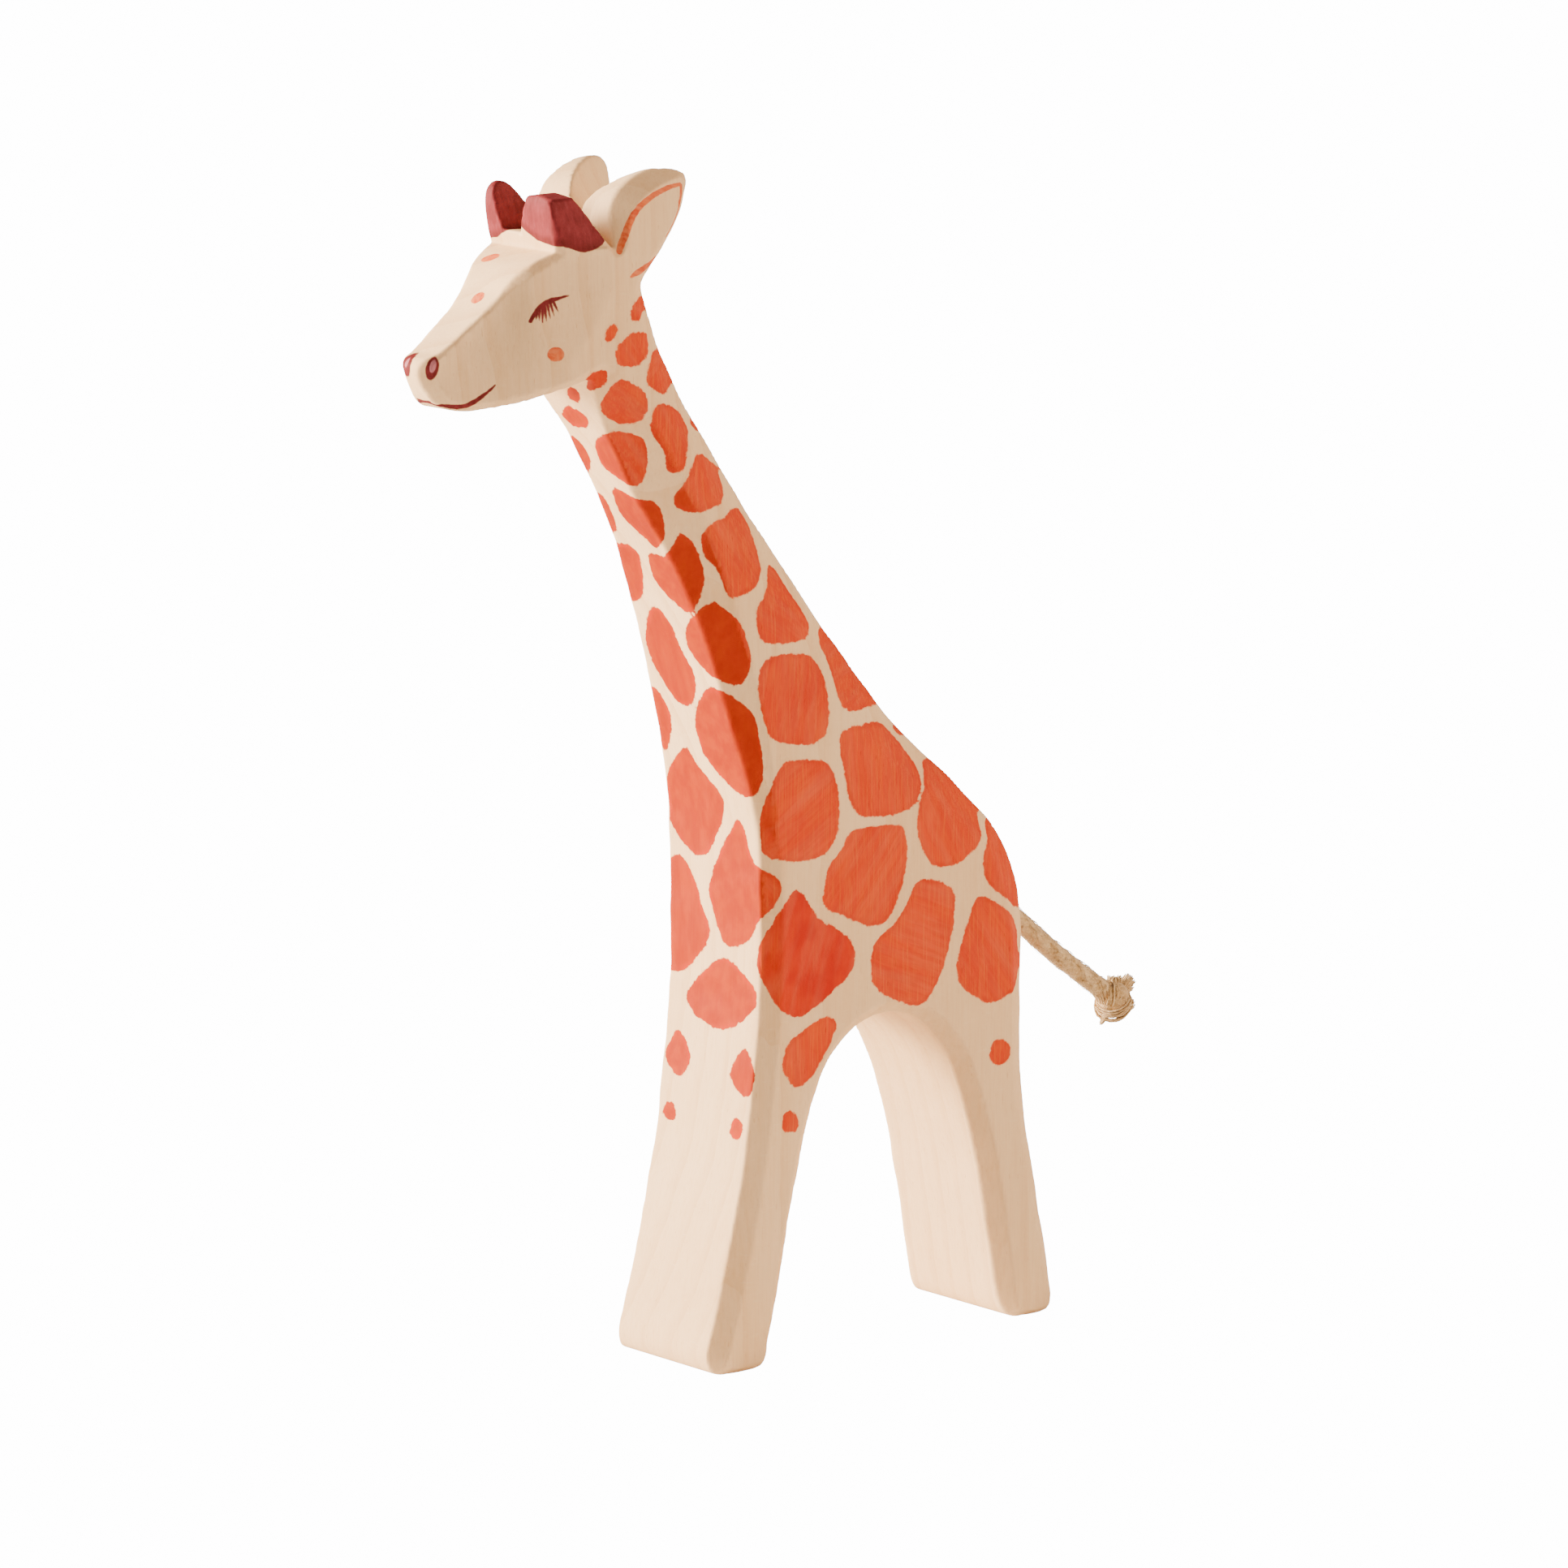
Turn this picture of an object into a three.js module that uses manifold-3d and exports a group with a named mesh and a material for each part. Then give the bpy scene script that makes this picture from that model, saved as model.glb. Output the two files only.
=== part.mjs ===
// Board-sawn, hand-carved wooden giraffe with a cord tail.
// Millimetres, +Z up. The giraffe looks along -Y, its left flank faces +X, the tail leaves along +Y.
// The board's thickness runs along X and the carving is centred on x = 0.
import * as THREE from 'three';
import * as BufferGeometryUtils from 'three/addons/utils/BufferGeometryUtils.js';
import Module from 'manifold-3d';

const wasm = await Module();
wasm.setup();

// ---------------------------------------------------------------- driving dimensions
const BOARD_T = 30.0;          // thickness of the maple board, along X
const EDGE_CHAMFER = 2.0;      // broken edge round the legs and the trunk
const NECK_CHAMFER = 4.6;      // broader whittled edge along neck and head
const HEAD_CHAMFER = 1.4;      // edge of jaw, muzzle and crown
const NECK_TOP_T = 24.4;       // thickness left at the top of the neck
const TAPER_Z0 = 118;          // height where the neck starts to narrow
const TAPER_Z1 = 158;          // height where the narrowing ends
const Y_SHIFT = 1.3;          // moves the outline so that its box is centred on y = 0

const EAR_X_OUT = 12.2;        // outer face of each ear
const HORN_X_OUT = 11.0;       // outer face of each horn
const NOTCH_FLOOR_Z = 203.6;   // bottom of the saw notch between the horns and the ears

const CORD_D = 3.6;            // hemp cord of the tail
const HOLE_D = 4.3;            // blind hole drilled for it
const HOLE_DEPTH = 12.0;
const TAIL_Z = 77.5;           // hole centre on the rump
const TAIL_Y = 57.3 + Y_SHIFT;
const TAIL_DROP_DEG = 37.4;    // the cord leaves this far below the horizontal
const GLUE_T = 1.2;            // dried glue at the hole's bottom
const SWAY_AT = 2.6;           // distances along the cord from the hole's mouth
const LIFT_AT = 9.2;
const CORD_END_AT = 38.7;
const KNOT_AT = 42.6;
const KNOT_R = 3.6;
const TUFT_L = 3.1;              // frayed end of the cord where it leaves the knot
const TUFT_TURN_DEG = 24.1;      // it stands this far above the horizontal
const GAP = 0.3;               // gap between touching pieces
const SECTION = 8;             // sides of the cord's section

// ---------------------------------------------------------------- outline of the carving, (y, z)
// front of the front leg, chest, neck up to the throat
const FRONT = [
  [-3.6, 0], [-11.0, 0], [-12.9, 0.6], [-13.8, 2.3], [-13.8, 4.5], [-12.3, 9.6], [-10.6, 16],
  [-9.0, 22.3], [-7.3, 29.5], [-5.8, 36.6], [-4.0, 49.4], [-2.4, 62], [-1.8, 74], [-1.8, 85], [-2.3, 95],
  [-3.5, 103], [-5.3, 110], [-8.3, 120.4], [-10.6, 127.8], [-13.3, 135.2], [-18.3, 146.8],
  [-23.6, 156], [-30.1, 167.7], [-33.6, 173.8], [-36.6, 179.2],
];
// jaw, muzzle, forehead up to the crease under the horns, crown, nape
const HEAD = [
  [-41.2, 178.5], [-46.3, 177.2], [-50.7, 176], [-55.2, 175.2], [-59.6, 174.9], [-62.8, 175.4],
  [-65, 176.8], [-66.7, 179.2], [-67.8, 181.4], [-68, 183], [-67.1, 184.2], [-64.7, 185.2],
  [-61.6, 187.2], [-58.7, 189.4], [-55.4, 191.9], [-53, 194.3], [-51.1, 196.7], [-49, 198.7],
  [-46.5, 200.2], [-43.6, 201.3], [-38, 202], [-33, 201.4], [-29, 199.2], [-26.8, 195.6],
  [-25.9, 191.6], [-24.2, 187.2],
];
// back of the neck, rump, back of the hind leg, hind sole
const BACK = [
  [-20.2, 179.2], [-16.3, 172.5], [-12.1, 166.3], [-5.9, 157.3], [0.9, 147.4], [4.8, 142],
  [10.9, 133.4], [17.6, 124.9], [24.6, 116.2], [31, 109.6], [36.9, 104.5], [42.5, 99.5],
  [47.1, 95.2], [51, 91.2], [54.2, 86.2], [56.3, 80.9], [57.4, 76], [57.9, 70],
  [57.8, 62], [57.7, 52], [58.2, 42.2], [59.6, 33], [61.8, 22.1], [63.8, 12.7],
  [65.2, 5], [65.4, 2.7], [64.7, 0.8], [63, 0], [57, 0],
];
// inner side of the hind leg, arch, inner side of the front leg
const ARCH = [
  [55.2, 0.5], [53.9, 2.0], [53.0, 4.4], [51.4, 12.8], [49.7, 22], [47.6, 32], [45.0, 41], [42.2, 48.2],
  [39.8, 52.2], [36.6, 55.8], [32.6, 58.6], [28, 60.0], [23.6, 60.0], [19.6, 58.8], [16.6, 56.9],
  [13.8, 54.2], [11.2, 50.2], [9.1, 45.4], [6.9, 37.6], [4.9, 29], [3.0, 20.5], [1.3, 11.9], [-0.2, 4.8],
  [-0.7, 2.4], [-1.9, 0.6],
];
const EAR = [
  [-30.5, 198.5], [-32.3, 202.6], [-32.5, 205.6], [-32, 208.3], [-30.6, 210.6], [-28.4, 212.3],
  [-25.5, 213.6], [-22.6, 214.2], [-19.9, 214.2], [-17.9, 213.5], [-17.1, 212], [-17.6, 209.4],
  [-18.7, 206.1], [-20.6, 202.8], [-22.9, 199.8], [-25.3, 196.8], [-26.6, 194.4], [-28.6, 192],
  [-31.5, 192.5],
];
const HORN = [
  [-43, 200], [-43.7, 201.3], [-44.2, 204.5], [-44.6, 208.4], [-44.3, 210.6], [-43, 211.8],
  [-40.9, 211.5], [-37.9, 208.2], [-35.2, 204.4], [-33.5, 202], [-33.2, 200.8], [-34, 198.5],
];

// ---------------------------------------------------------------- helpers
function toSolid(geometry) {
  const g = geometry.clone();
  g.deleteAttribute('normal');
  g.deleteAttribute('uv');
  const merged = BufferGeometryUtils.mergeVertices(g, 1e-4);
  return new wasm.Manifold(new wasm.Mesh({
    numProp: 3,
    vertProperties: new Float32Array(merged.attributes.position.array),
    triVerts: new Uint32Array(merged.index.array),
  }));
}

function toGeometry(solid) {
  const m = solid.getMesh();
  const g = new THREE.BufferGeometry();
  g.setAttribute('position', new THREE.BufferAttribute(new Float32Array(m.vertProperties), 3));
  g.setIndex(new THREE.BufferAttribute(new Uint32Array(m.triVerts), 1));
  g.computeVertexNormals();
  return g;
}

const shapeOf = (pts) => new THREE.Shape(pts.map(([a, b]) => new THREE.Vector2(a, b)));

// outline in (y, z), sawn from x0 to x1, with its edges broken by the given chamfer
function plate(pts, x0, x1, chamfer) {
  const opts = chamfer > 0
    ? { depth: x1 - x0 - 2 * chamfer, bevelEnabled: true, bevelThickness: chamfer, bevelSize: chamfer, bevelOffset: -chamfer, bevelSegments: 1 }
    : { depth: x1 - x0, bevelEnabled: false };
  const g = new THREE.ExtrudeGeometry(shapeOf(pts), opts);
  g.translate(0, 0, x0 + (chamfer > 0 ? chamfer : 0));
  // local x -> world y, local y -> world z, local z -> world x
  g.applyMatrix4(new THREE.Matrix4().makeBasis(
    new THREE.Vector3(0, 1, 0), new THREE.Vector3(0, 0, 1), new THREE.Vector3(1, 0, 0)));
  return toSolid(g);
}

// outline in (x, z), running through along y
function alongY(pts, y0, y1) {
  const g = new THREE.ExtrudeGeometry(shapeOf(pts), { depth: y1 - y0, bevelEnabled: false });
  g.applyMatrix4(new THREE.Matrix4().makeBasis(
    new THREE.Vector3(1, 0, 0), new THREE.Vector3(0, 0, 1), new THREE.Vector3(0, -1, 0)));
  g.translate(0, y1, 0);
  return toSolid(g);
}

// outline in (x, y), running up along z
function alongZ(pts, z0, z1) {
  const g = new THREE.ExtrudeGeometry(shapeOf(pts), { depth: z1 - z0, bevelEnabled: false });
  g.translate(0, 0, z0);
  return toSolid(g);
}

const shifted = (pts) => pts.map(([y, z]) => [y + Y_SHIFT, z]);

// ---------------------------------------------------------------- carving
const H = BOARD_T / 2;
const HN = NECK_TOP_T / 2;

// trunk and legs: the outline up to a slanting line across the foot of the neck
const trunkPts = shifted([
  ...FRONT.filter(([, z]) => z <= 96),
  ...BACK.filter(([, z]) => z <= 116.6),
  ...ARCH,
]);
let body = plate(trunkPts, -H, H, EDGE_CHAMFER);

// neck: broader chamfer, narrowed in thickness towards the head
const neckPts = shifted([
  [8, 84], [1.2, 88],
  ...FRONT.filter(([, z]) => z > 90),
  [-38.5, 182.5], [-37.5, 191], [-32.5, 195.5],
  ...HEAD.slice(-2),
  ...BACK.filter(([, z]) => z > 96),
  [36, 88],
]);
const taper = alongY([
  [-H - 1, 60], [H + 1, 60], [H + 1, TAPER_Z0 - 8], [H, TAPER_Z0], [H - 0.9, TAPER_Z0 + 16], [HN, TAPER_Z1], [HN, 230],
  [-HN, 230], [-HN, TAPER_Z1], [-H + 0.9, TAPER_Z0 + 16], [-H, TAPER_Z0], [-H - 1, TAPER_Z0 - 8],
], -90, 90);
body = body.add(plate(neckPts, -H, H, NECK_CHAMFER).intersect(taper));

// head: the same thickness as the top of the neck
let head = plate(shifted([[-33.6, 174.5], [-36.6, 179.2], ...HEAD, [-24, 178]]), -HN, HN, HEAD_CHAMFER);

// the muzzle narrows in plan towards the nose
const muzzle = [
  [-40, 14.0], [-42, 12.0], [-45.2, 10.6], [-48.6, 9.0], [-51.5, 7.6], [-55.5, 6.4], [-60.5, 5.2], [-64.5, 4.4], [-70, 3.0],
];
for (const s of [1, -1]) {
  const side = muzzle.map(([y, w]) => [s * w, y + Y_SHIFT]);
  const cutter = [...side, [s * 40, -75], [s * 40, -40 + Y_SHIFT]];
  head = head.subtract(alongZ(s > 0 ? cutter.slice().reverse() : cutter, 150, 240));
}
body = body.add(head);

// ears and horns, split by a notch sawn through from front to back
for (const s of [1, -1]) {
  const ear = s > 0 ? plate(shifted(EAR), 1.6, EAR_X_OUT, 1.0) : plate(shifted(EAR), -EAR_X_OUT, -1.6, 1.0);
  const horn = s > 0 ? plate(shifted(HORN), 0.8, HORN_X_OUT, 0.8) : plate(shifted(HORN), -HORN_X_OUT, -0.8, 0.8);
  let tops = ear.add(horn);
  // inner faces lean outward, outer horn faces lean inward a little
  const inner = [[-0.5 * s, NOTCH_FLOOR_Z], [1.2 * s, NOTCH_FLOOR_Z], [4.4 * s, 216], [-0.5 * s, 216]];
  tops = tops.subtract(alongY(s > 0 ? inner : inner.slice().reverse(), -60, 0));
  const outer = [[HORN_X_OUT * s, 202.5], [(HORN_X_OUT + 3) * s, 202.5], [(HORN_X_OUT + 3) * s, 216], [(HORN_X_OUT - 3.0) * s, 216]];
  tops = tops.subtract(alongY(s > 0 ? outer : outer.slice().reverse(), -60, -34.5 + Y_SHIFT));
  body = body.add(tops);
}

// ---------------------------------------------------------------- tail
const drop = THREE.MathUtils.degToRad(TAIL_DROP_DEG);
const tailDir = new THREE.Vector3(0, Math.cos(drop), -Math.sin(drop));
const tailExit = new THREE.Vector3(0, TAIL_Y, TAIL_Z);
const onTail = (d) => tailExit.clone().addScaledVector(tailDir, d);
const tailTurn = new THREE.Quaternion().setFromUnitVectors(new THREE.Vector3(0, 1, 0), tailDir);

// profile (radius, distance along an axis) turned about an axis that starts at the given point
function turned(profile, sides, start = tailExit, turn = tailTurn) {
  const pts = profile.map(([r, d]) => new THREE.Vector2(r, d));
  const g = new THREE.LatheGeometry(pts, sides);
  g.applyQuaternion(turn);
  g.translate(start.x, start.y, start.z);
  return g;
}

const hole = toSolid(turned([[0, -HOLE_DEPTH], [HOLE_D / 2, -HOLE_DEPTH], [HOLE_D / 2, 4], [0, 4]], 24));
body = body.subtract(hole);

const R = CORD_D / 2;
const rootStart = -HOLE_DEPTH + GLUE_T + 2 * GAP;
const rootEnd = SWAY_AT - R - GAP;
const glueGeo = turned([[0, -HOLE_DEPTH + GAP], [HOLE_D / 2 - GAP, -HOLE_DEPTH + GAP], [HOLE_D / 2 - GAP, -HOLE_DEPTH + GAP + GLUE_T], [0, -HOLE_DEPTH + GAP + GLUE_T]], 16);

// the cord's own straight stretch as a tube along a line
function cordTube(d0, d1) {
  const section = new THREE.Shape();
  for (let i = 0; i < SECTION; i++) {
    const a = (i / SECTION) * Math.PI * 2;
    if (i === 0) section.moveTo(R * Math.cos(a), R * Math.sin(a));
    else section.lineTo(R * Math.cos(a), R * Math.sin(a));
  }
  section.closePath();
  const path = new THREE.LineCurve3(onTail(d0), onTail(d1));
  const steps = Math.max(1, Math.round((d1 - d0) / (2.5 * CORD_D)));
  return new THREE.ExtrudeGeometry(section, { steps, bevelEnabled: false, extrudePath: path });
}
// a stretch that starts with a rounded end about its bending point
function cordFromPivot(d0, d1) {
  const ball = new THREE.SphereGeometry(R, 12, 8);
  const c = onTail(d0);
  ball.translate(c.x, c.y, c.z);
  return toGeometry(toSolid(cordTube(d0, d1)).add(toSolid(ball)));
}

const knotGeo = new THREE.SphereGeometry(KNOT_R, 16, 10);
{
  const c = onTail(KNOT_AT);
  knotGeo.translate(c.x, c.y, c.z);
}
// short frayed end, standing out of the knot upwards and backwards
const rise = THREE.MathUtils.degToRad(TUFT_TURN_DEG);
const tuftTurn = new THREE.Quaternion().setFromUnitVectors(
  new THREE.Vector3(0, 1, 0), new THREE.Vector3(0, Math.cos(rise), Math.sin(rise)));
const T0 = KNOT_R + GAP;
const tuftGeo = turned(
  [[0, T0], [1.3, T0], [1.9, T0 + 1.2], [2.1, T0 + TUFT_L - 0.5], [1.6, T0 + TUFT_L], [0, T0 + TUFT_L]],
  12, onTail(KNOT_AT), tuftTurn);

// ---------------------------------------------------------------- materials and scene graph
const maple = new THREE.MeshStandardMaterial({ color: 0xe8d3b8, roughness: 0.62, metalness: 0 });
const glue = new THREE.MeshStandardMaterial({ color: 0xe6d9b0, roughness: 0.35, metalness: 0 });
const hemp = new THREE.MeshStandardMaterial({ color: 0xc4a478, roughness: 0.95, metalness: 0 });

const giraffe = new THREE.Group();
function addPiece(parent, name, geometry, material) {
  const mesh = new THREE.Mesh(geometry, material);
  mesh.name = name;
  parent.add(mesh);
}
const carving = new THREE.Group();
const tail = new THREE.Group();
giraffe.add(carving, tail);

addPiece(carving, 'giraffe_body', toGeometry(body), maple);
addPiece(carving, 'tail_glue', glueGeo, glue);
addPiece(tail, 'tail_cord_root', cordTube(rootStart, rootEnd), hemp);
addPiece(tail, 'tail_cord_upper', cordFromPivot(SWAY_AT, LIFT_AT - R - GAP), hemp);
addPiece(tail, 'tail_cord_lower', cordFromPivot(LIFT_AT, CORD_END_AT), hemp);
addPiece(tail, 'tail_knot', knotGeo, hemp);
addPiece(tail, 'tail_tuft', tuftGeo, hemp);

export default giraffe;
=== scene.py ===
"""Looks of the carved wooden giraffe with a cord tail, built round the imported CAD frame.
Lengths in the shape tables are millimetres in the object's frame; Blender objects are in metres."""
import math
import random
import bmesh
import bpy
import numpy as np
from mathutils import Matrix, Vector


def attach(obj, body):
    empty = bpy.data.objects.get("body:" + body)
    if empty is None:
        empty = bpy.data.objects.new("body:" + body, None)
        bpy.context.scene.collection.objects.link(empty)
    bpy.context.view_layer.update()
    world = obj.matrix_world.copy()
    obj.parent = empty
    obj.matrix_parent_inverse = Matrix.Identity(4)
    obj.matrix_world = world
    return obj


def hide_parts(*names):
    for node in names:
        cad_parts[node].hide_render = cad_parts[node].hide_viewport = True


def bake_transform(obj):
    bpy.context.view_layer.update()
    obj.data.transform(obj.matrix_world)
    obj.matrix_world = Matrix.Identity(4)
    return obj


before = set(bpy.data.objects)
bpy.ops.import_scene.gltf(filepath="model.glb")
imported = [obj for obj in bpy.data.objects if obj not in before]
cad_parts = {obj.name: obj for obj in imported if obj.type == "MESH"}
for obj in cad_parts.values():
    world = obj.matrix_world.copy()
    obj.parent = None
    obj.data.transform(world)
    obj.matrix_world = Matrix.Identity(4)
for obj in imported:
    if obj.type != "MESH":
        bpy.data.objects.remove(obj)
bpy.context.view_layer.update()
MM = 0.001
rng = random.Random(7)
nrs = np.random.RandomState(11)

# ------------------------------------------------------------------ camera
cam_data = bpy.data.cameras.new("camera")
cam_data.lens = 219.9
cam_data.sensor_width = 36
cam_data.clip_start = 0.05
cam = bpy.data.objects.new("camera", cam_data)
bpy.context.scene.collection.objects.link(cam)
cam.location = (1.2915, -1.0308, 0.418)
cam.rotation_euler = Vector((-0.76338, 0.61817, -0.18738)).to_track_quat("-Z", "Y").to_euler()
bpy.context.scene.camera = cam

# ------------------------------------------------------------------ tail: cord, knot, frayed end
TAIL_EXIT = np.array([0.0, 58.6, 77.5])
TAIL_DIR = np.array([0.0, 0.79441, -0.60738])
TAIL_UP = np.array([0.0, 0.60738, 0.79441])
TAIL_SIDE = np.array([1.0, 0.0, 0.0])
CORD_R = 1.78
SEAM = 4.4          # where the stub hands over to the long stretch
KNOT_AT = 42.6


def tail_point(d, r=0.0, a=0.0):
    return TAIL_EXIT+TAIL_DIR*d+(TAIL_UP*math.cos(a)+TAIL_SIDE*math.sin(a))*r


def link_mesh(name, verts, faces, attrs=None, smooth=True):
    me = bpy.data.meshes.new(name)
    me.from_pydata([tuple(v) for v in np.asarray(verts)*MM], [], faces)
    me.validate()
    me.update()
    if smooth:
        me.polygons.foreach_set("use_smooth", [True]*len(me.polygons))
    for key, vals in (attrs or {}).items():
        vals = np.asarray(vals, np.float32)
        if vals.ndim == 1:
            at = me.attributes.new(key, "FLOAT", "POINT")
            at.data.foreach_set("value", vals)
        else:
            at = me.attributes.new(key, "FLOAT_VECTOR", "POINT")
            at.data.foreach_set("vector", vals.ravel())
    ob = bpy.data.objects.new(name, me)
    bpy.context.scene.collection.objects.link(ob)
    return ob


class Heap:
    """collects vertices, faces and the cord coordinates (along, round, shade) of several strips"""
    def __init__(self):
        self.v, self.f, self.c = [], [], []

    def tube(self, path, radii, sides, flat=1.0, up=None, c0=0.0, shade=0.5, lobes=0.0, turns=0.0, ends=True, rough=0.0):
        path = np.asarray(path, float)
        n = len(path)
        T = np.gradient(path, axis=0)
        T /= np.linalg.norm(T, axis=1)[:, None]
        u = np.array(up if up is not None else [1.0, 0.0, 0.0], float)
        base = len(self.v)
        s = 0.0
        for i in range(n):
            if i:
                s += np.linalg.norm(path[i]-path[i-1])
            u = u-T[i]*(u @ T[i])
            u /= np.linalg.norm(u)
            w = np.cross(T[i], u)
            for k in range(sides):
                a = 2*math.pi*k/sides
                r = radii[i]*(1+lobes*math.cos(3*(a-turns*(s+c0))))
                if rough:
                    r *= 1+rough*(nrs.rand()-.5)*2
                self.v.append(path[i]+u*math.cos(a)*r+w*math.sin(a)*r*flat)
                self.c.append((c0+s, a/(2*math.pi), shade))
        for i in range(n-1):
            for k in range(sides):
                a, b = base+i*sides+k, base+i*sides+(k+1) % sides
                self.f.append((a, b, b+sides, a+sides))
        if ends:
            self.f.append(tuple(base+k for k in range(sides))[::-1])
            self.f.append(tuple(base+(n-1)*sides+k for k in range(sides)))

    def build(self, name):
        return link_mesh(name, np.array(self.v), self.f, {"cord": np.array(self.c)})


def felt(i, k):
    """slow lumps of the brushed cord"""
    return (0.035*math.sin(i*0.61+k*1.7)+0.03*math.sin(i*0.23-k*2.3+1.1)+0.02*math.sin(i*1.31+k*3.1+.4))


def cord_stretch(d0, d1, name, thin0=1.0, thin1=1.0, fuzz=0):
    h = Heap()
    sides = 28
    n = int((d1-d0)/0.22)+1
    ds = np.linspace(d0, d1, n)
    base = 0
    for i, d in enumerate(ds):
        g = d/0.22
        lean = 0.25*math.sin(d*0.16+0.4)*min(1, max(0, (d-3)/8))*min(1, max(0, (40-d)/8))
        for k in range(sides):
            a = 2*math.pi*k/sides
            ply = abs(math.cos(1.5*(a-0.30*d)))            # three plies, brushed almost flat
            r = CORD_R*(0.955+0.055*ply+felt(g*0.35, a)*0.5+0.018*(nrs.rand()-.5))
            r *= thin0+(thin1-thin0)*(i/(n-1))
            p = tail_point(d, r, a)+TAIL_UP*lean
            h.v.append(p)
            h.c.append((d, a/(2*math.pi), 0.5+0.5*(ply-0.6)))
    for i in range(n-1):
        for k in range(sides):
            a, b = i*sides+k, i*sides+(k+1) % sides
            h.f.append((a, b, b+sides, a+sides))
    h.f.append(tuple(range(sides))[::-1])
    h.f.append(tuple((n-1)*sides+k for k in range(sides)))
    # short fibres that stand a little off the cord
    for _ in range(fuzz):
        d = rng.uniform(d0+0.4, d1-0.8)
        a = rng.uniform(0, 2*math.pi)
        L = rng.uniform(1.0, 3.0)
        da = rng.uniform(-0.5, 0.9)
        lift = rng.uniform(0.02, 0.34)
        pts = []
        lean0 = lambda q: TAIL_UP*0.25*math.sin(q*0.16+0.4)*min(1, max(0, (q-3)/8))*min(1, max(0, (40-q)/8))
        for t in (0, .33, .66, 1):
            q = min(max(d+L*t*(1 if a > 3 else 0.9), d0+.1), d1+1.5)
            pts.append(tail_point(q, CORD_R*0.97+lift*math.sin(t*math.pi*0.62)*(1.0 if t < 1 else 1.1), a+da*t)+lean0(q))
        if np.linalg.norm(pts[-1]-pts[0]) > .3:
            h.tube(pts, [0.045, 0.05, 0.04, 0.012], 3, c0=d, shade=rng.uniform(0.3, 1.0), up=TAIL_UP+0.01)
    return h.build(name)


stub = cord_stretch(-10.0, SEAM+0.35, "cord_stub", 1.0, 0.985, fuzz=60)
run = cord_stretch(SEAM, KNOT_AT-0.6, "cord_run", fuzz=520)


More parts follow.
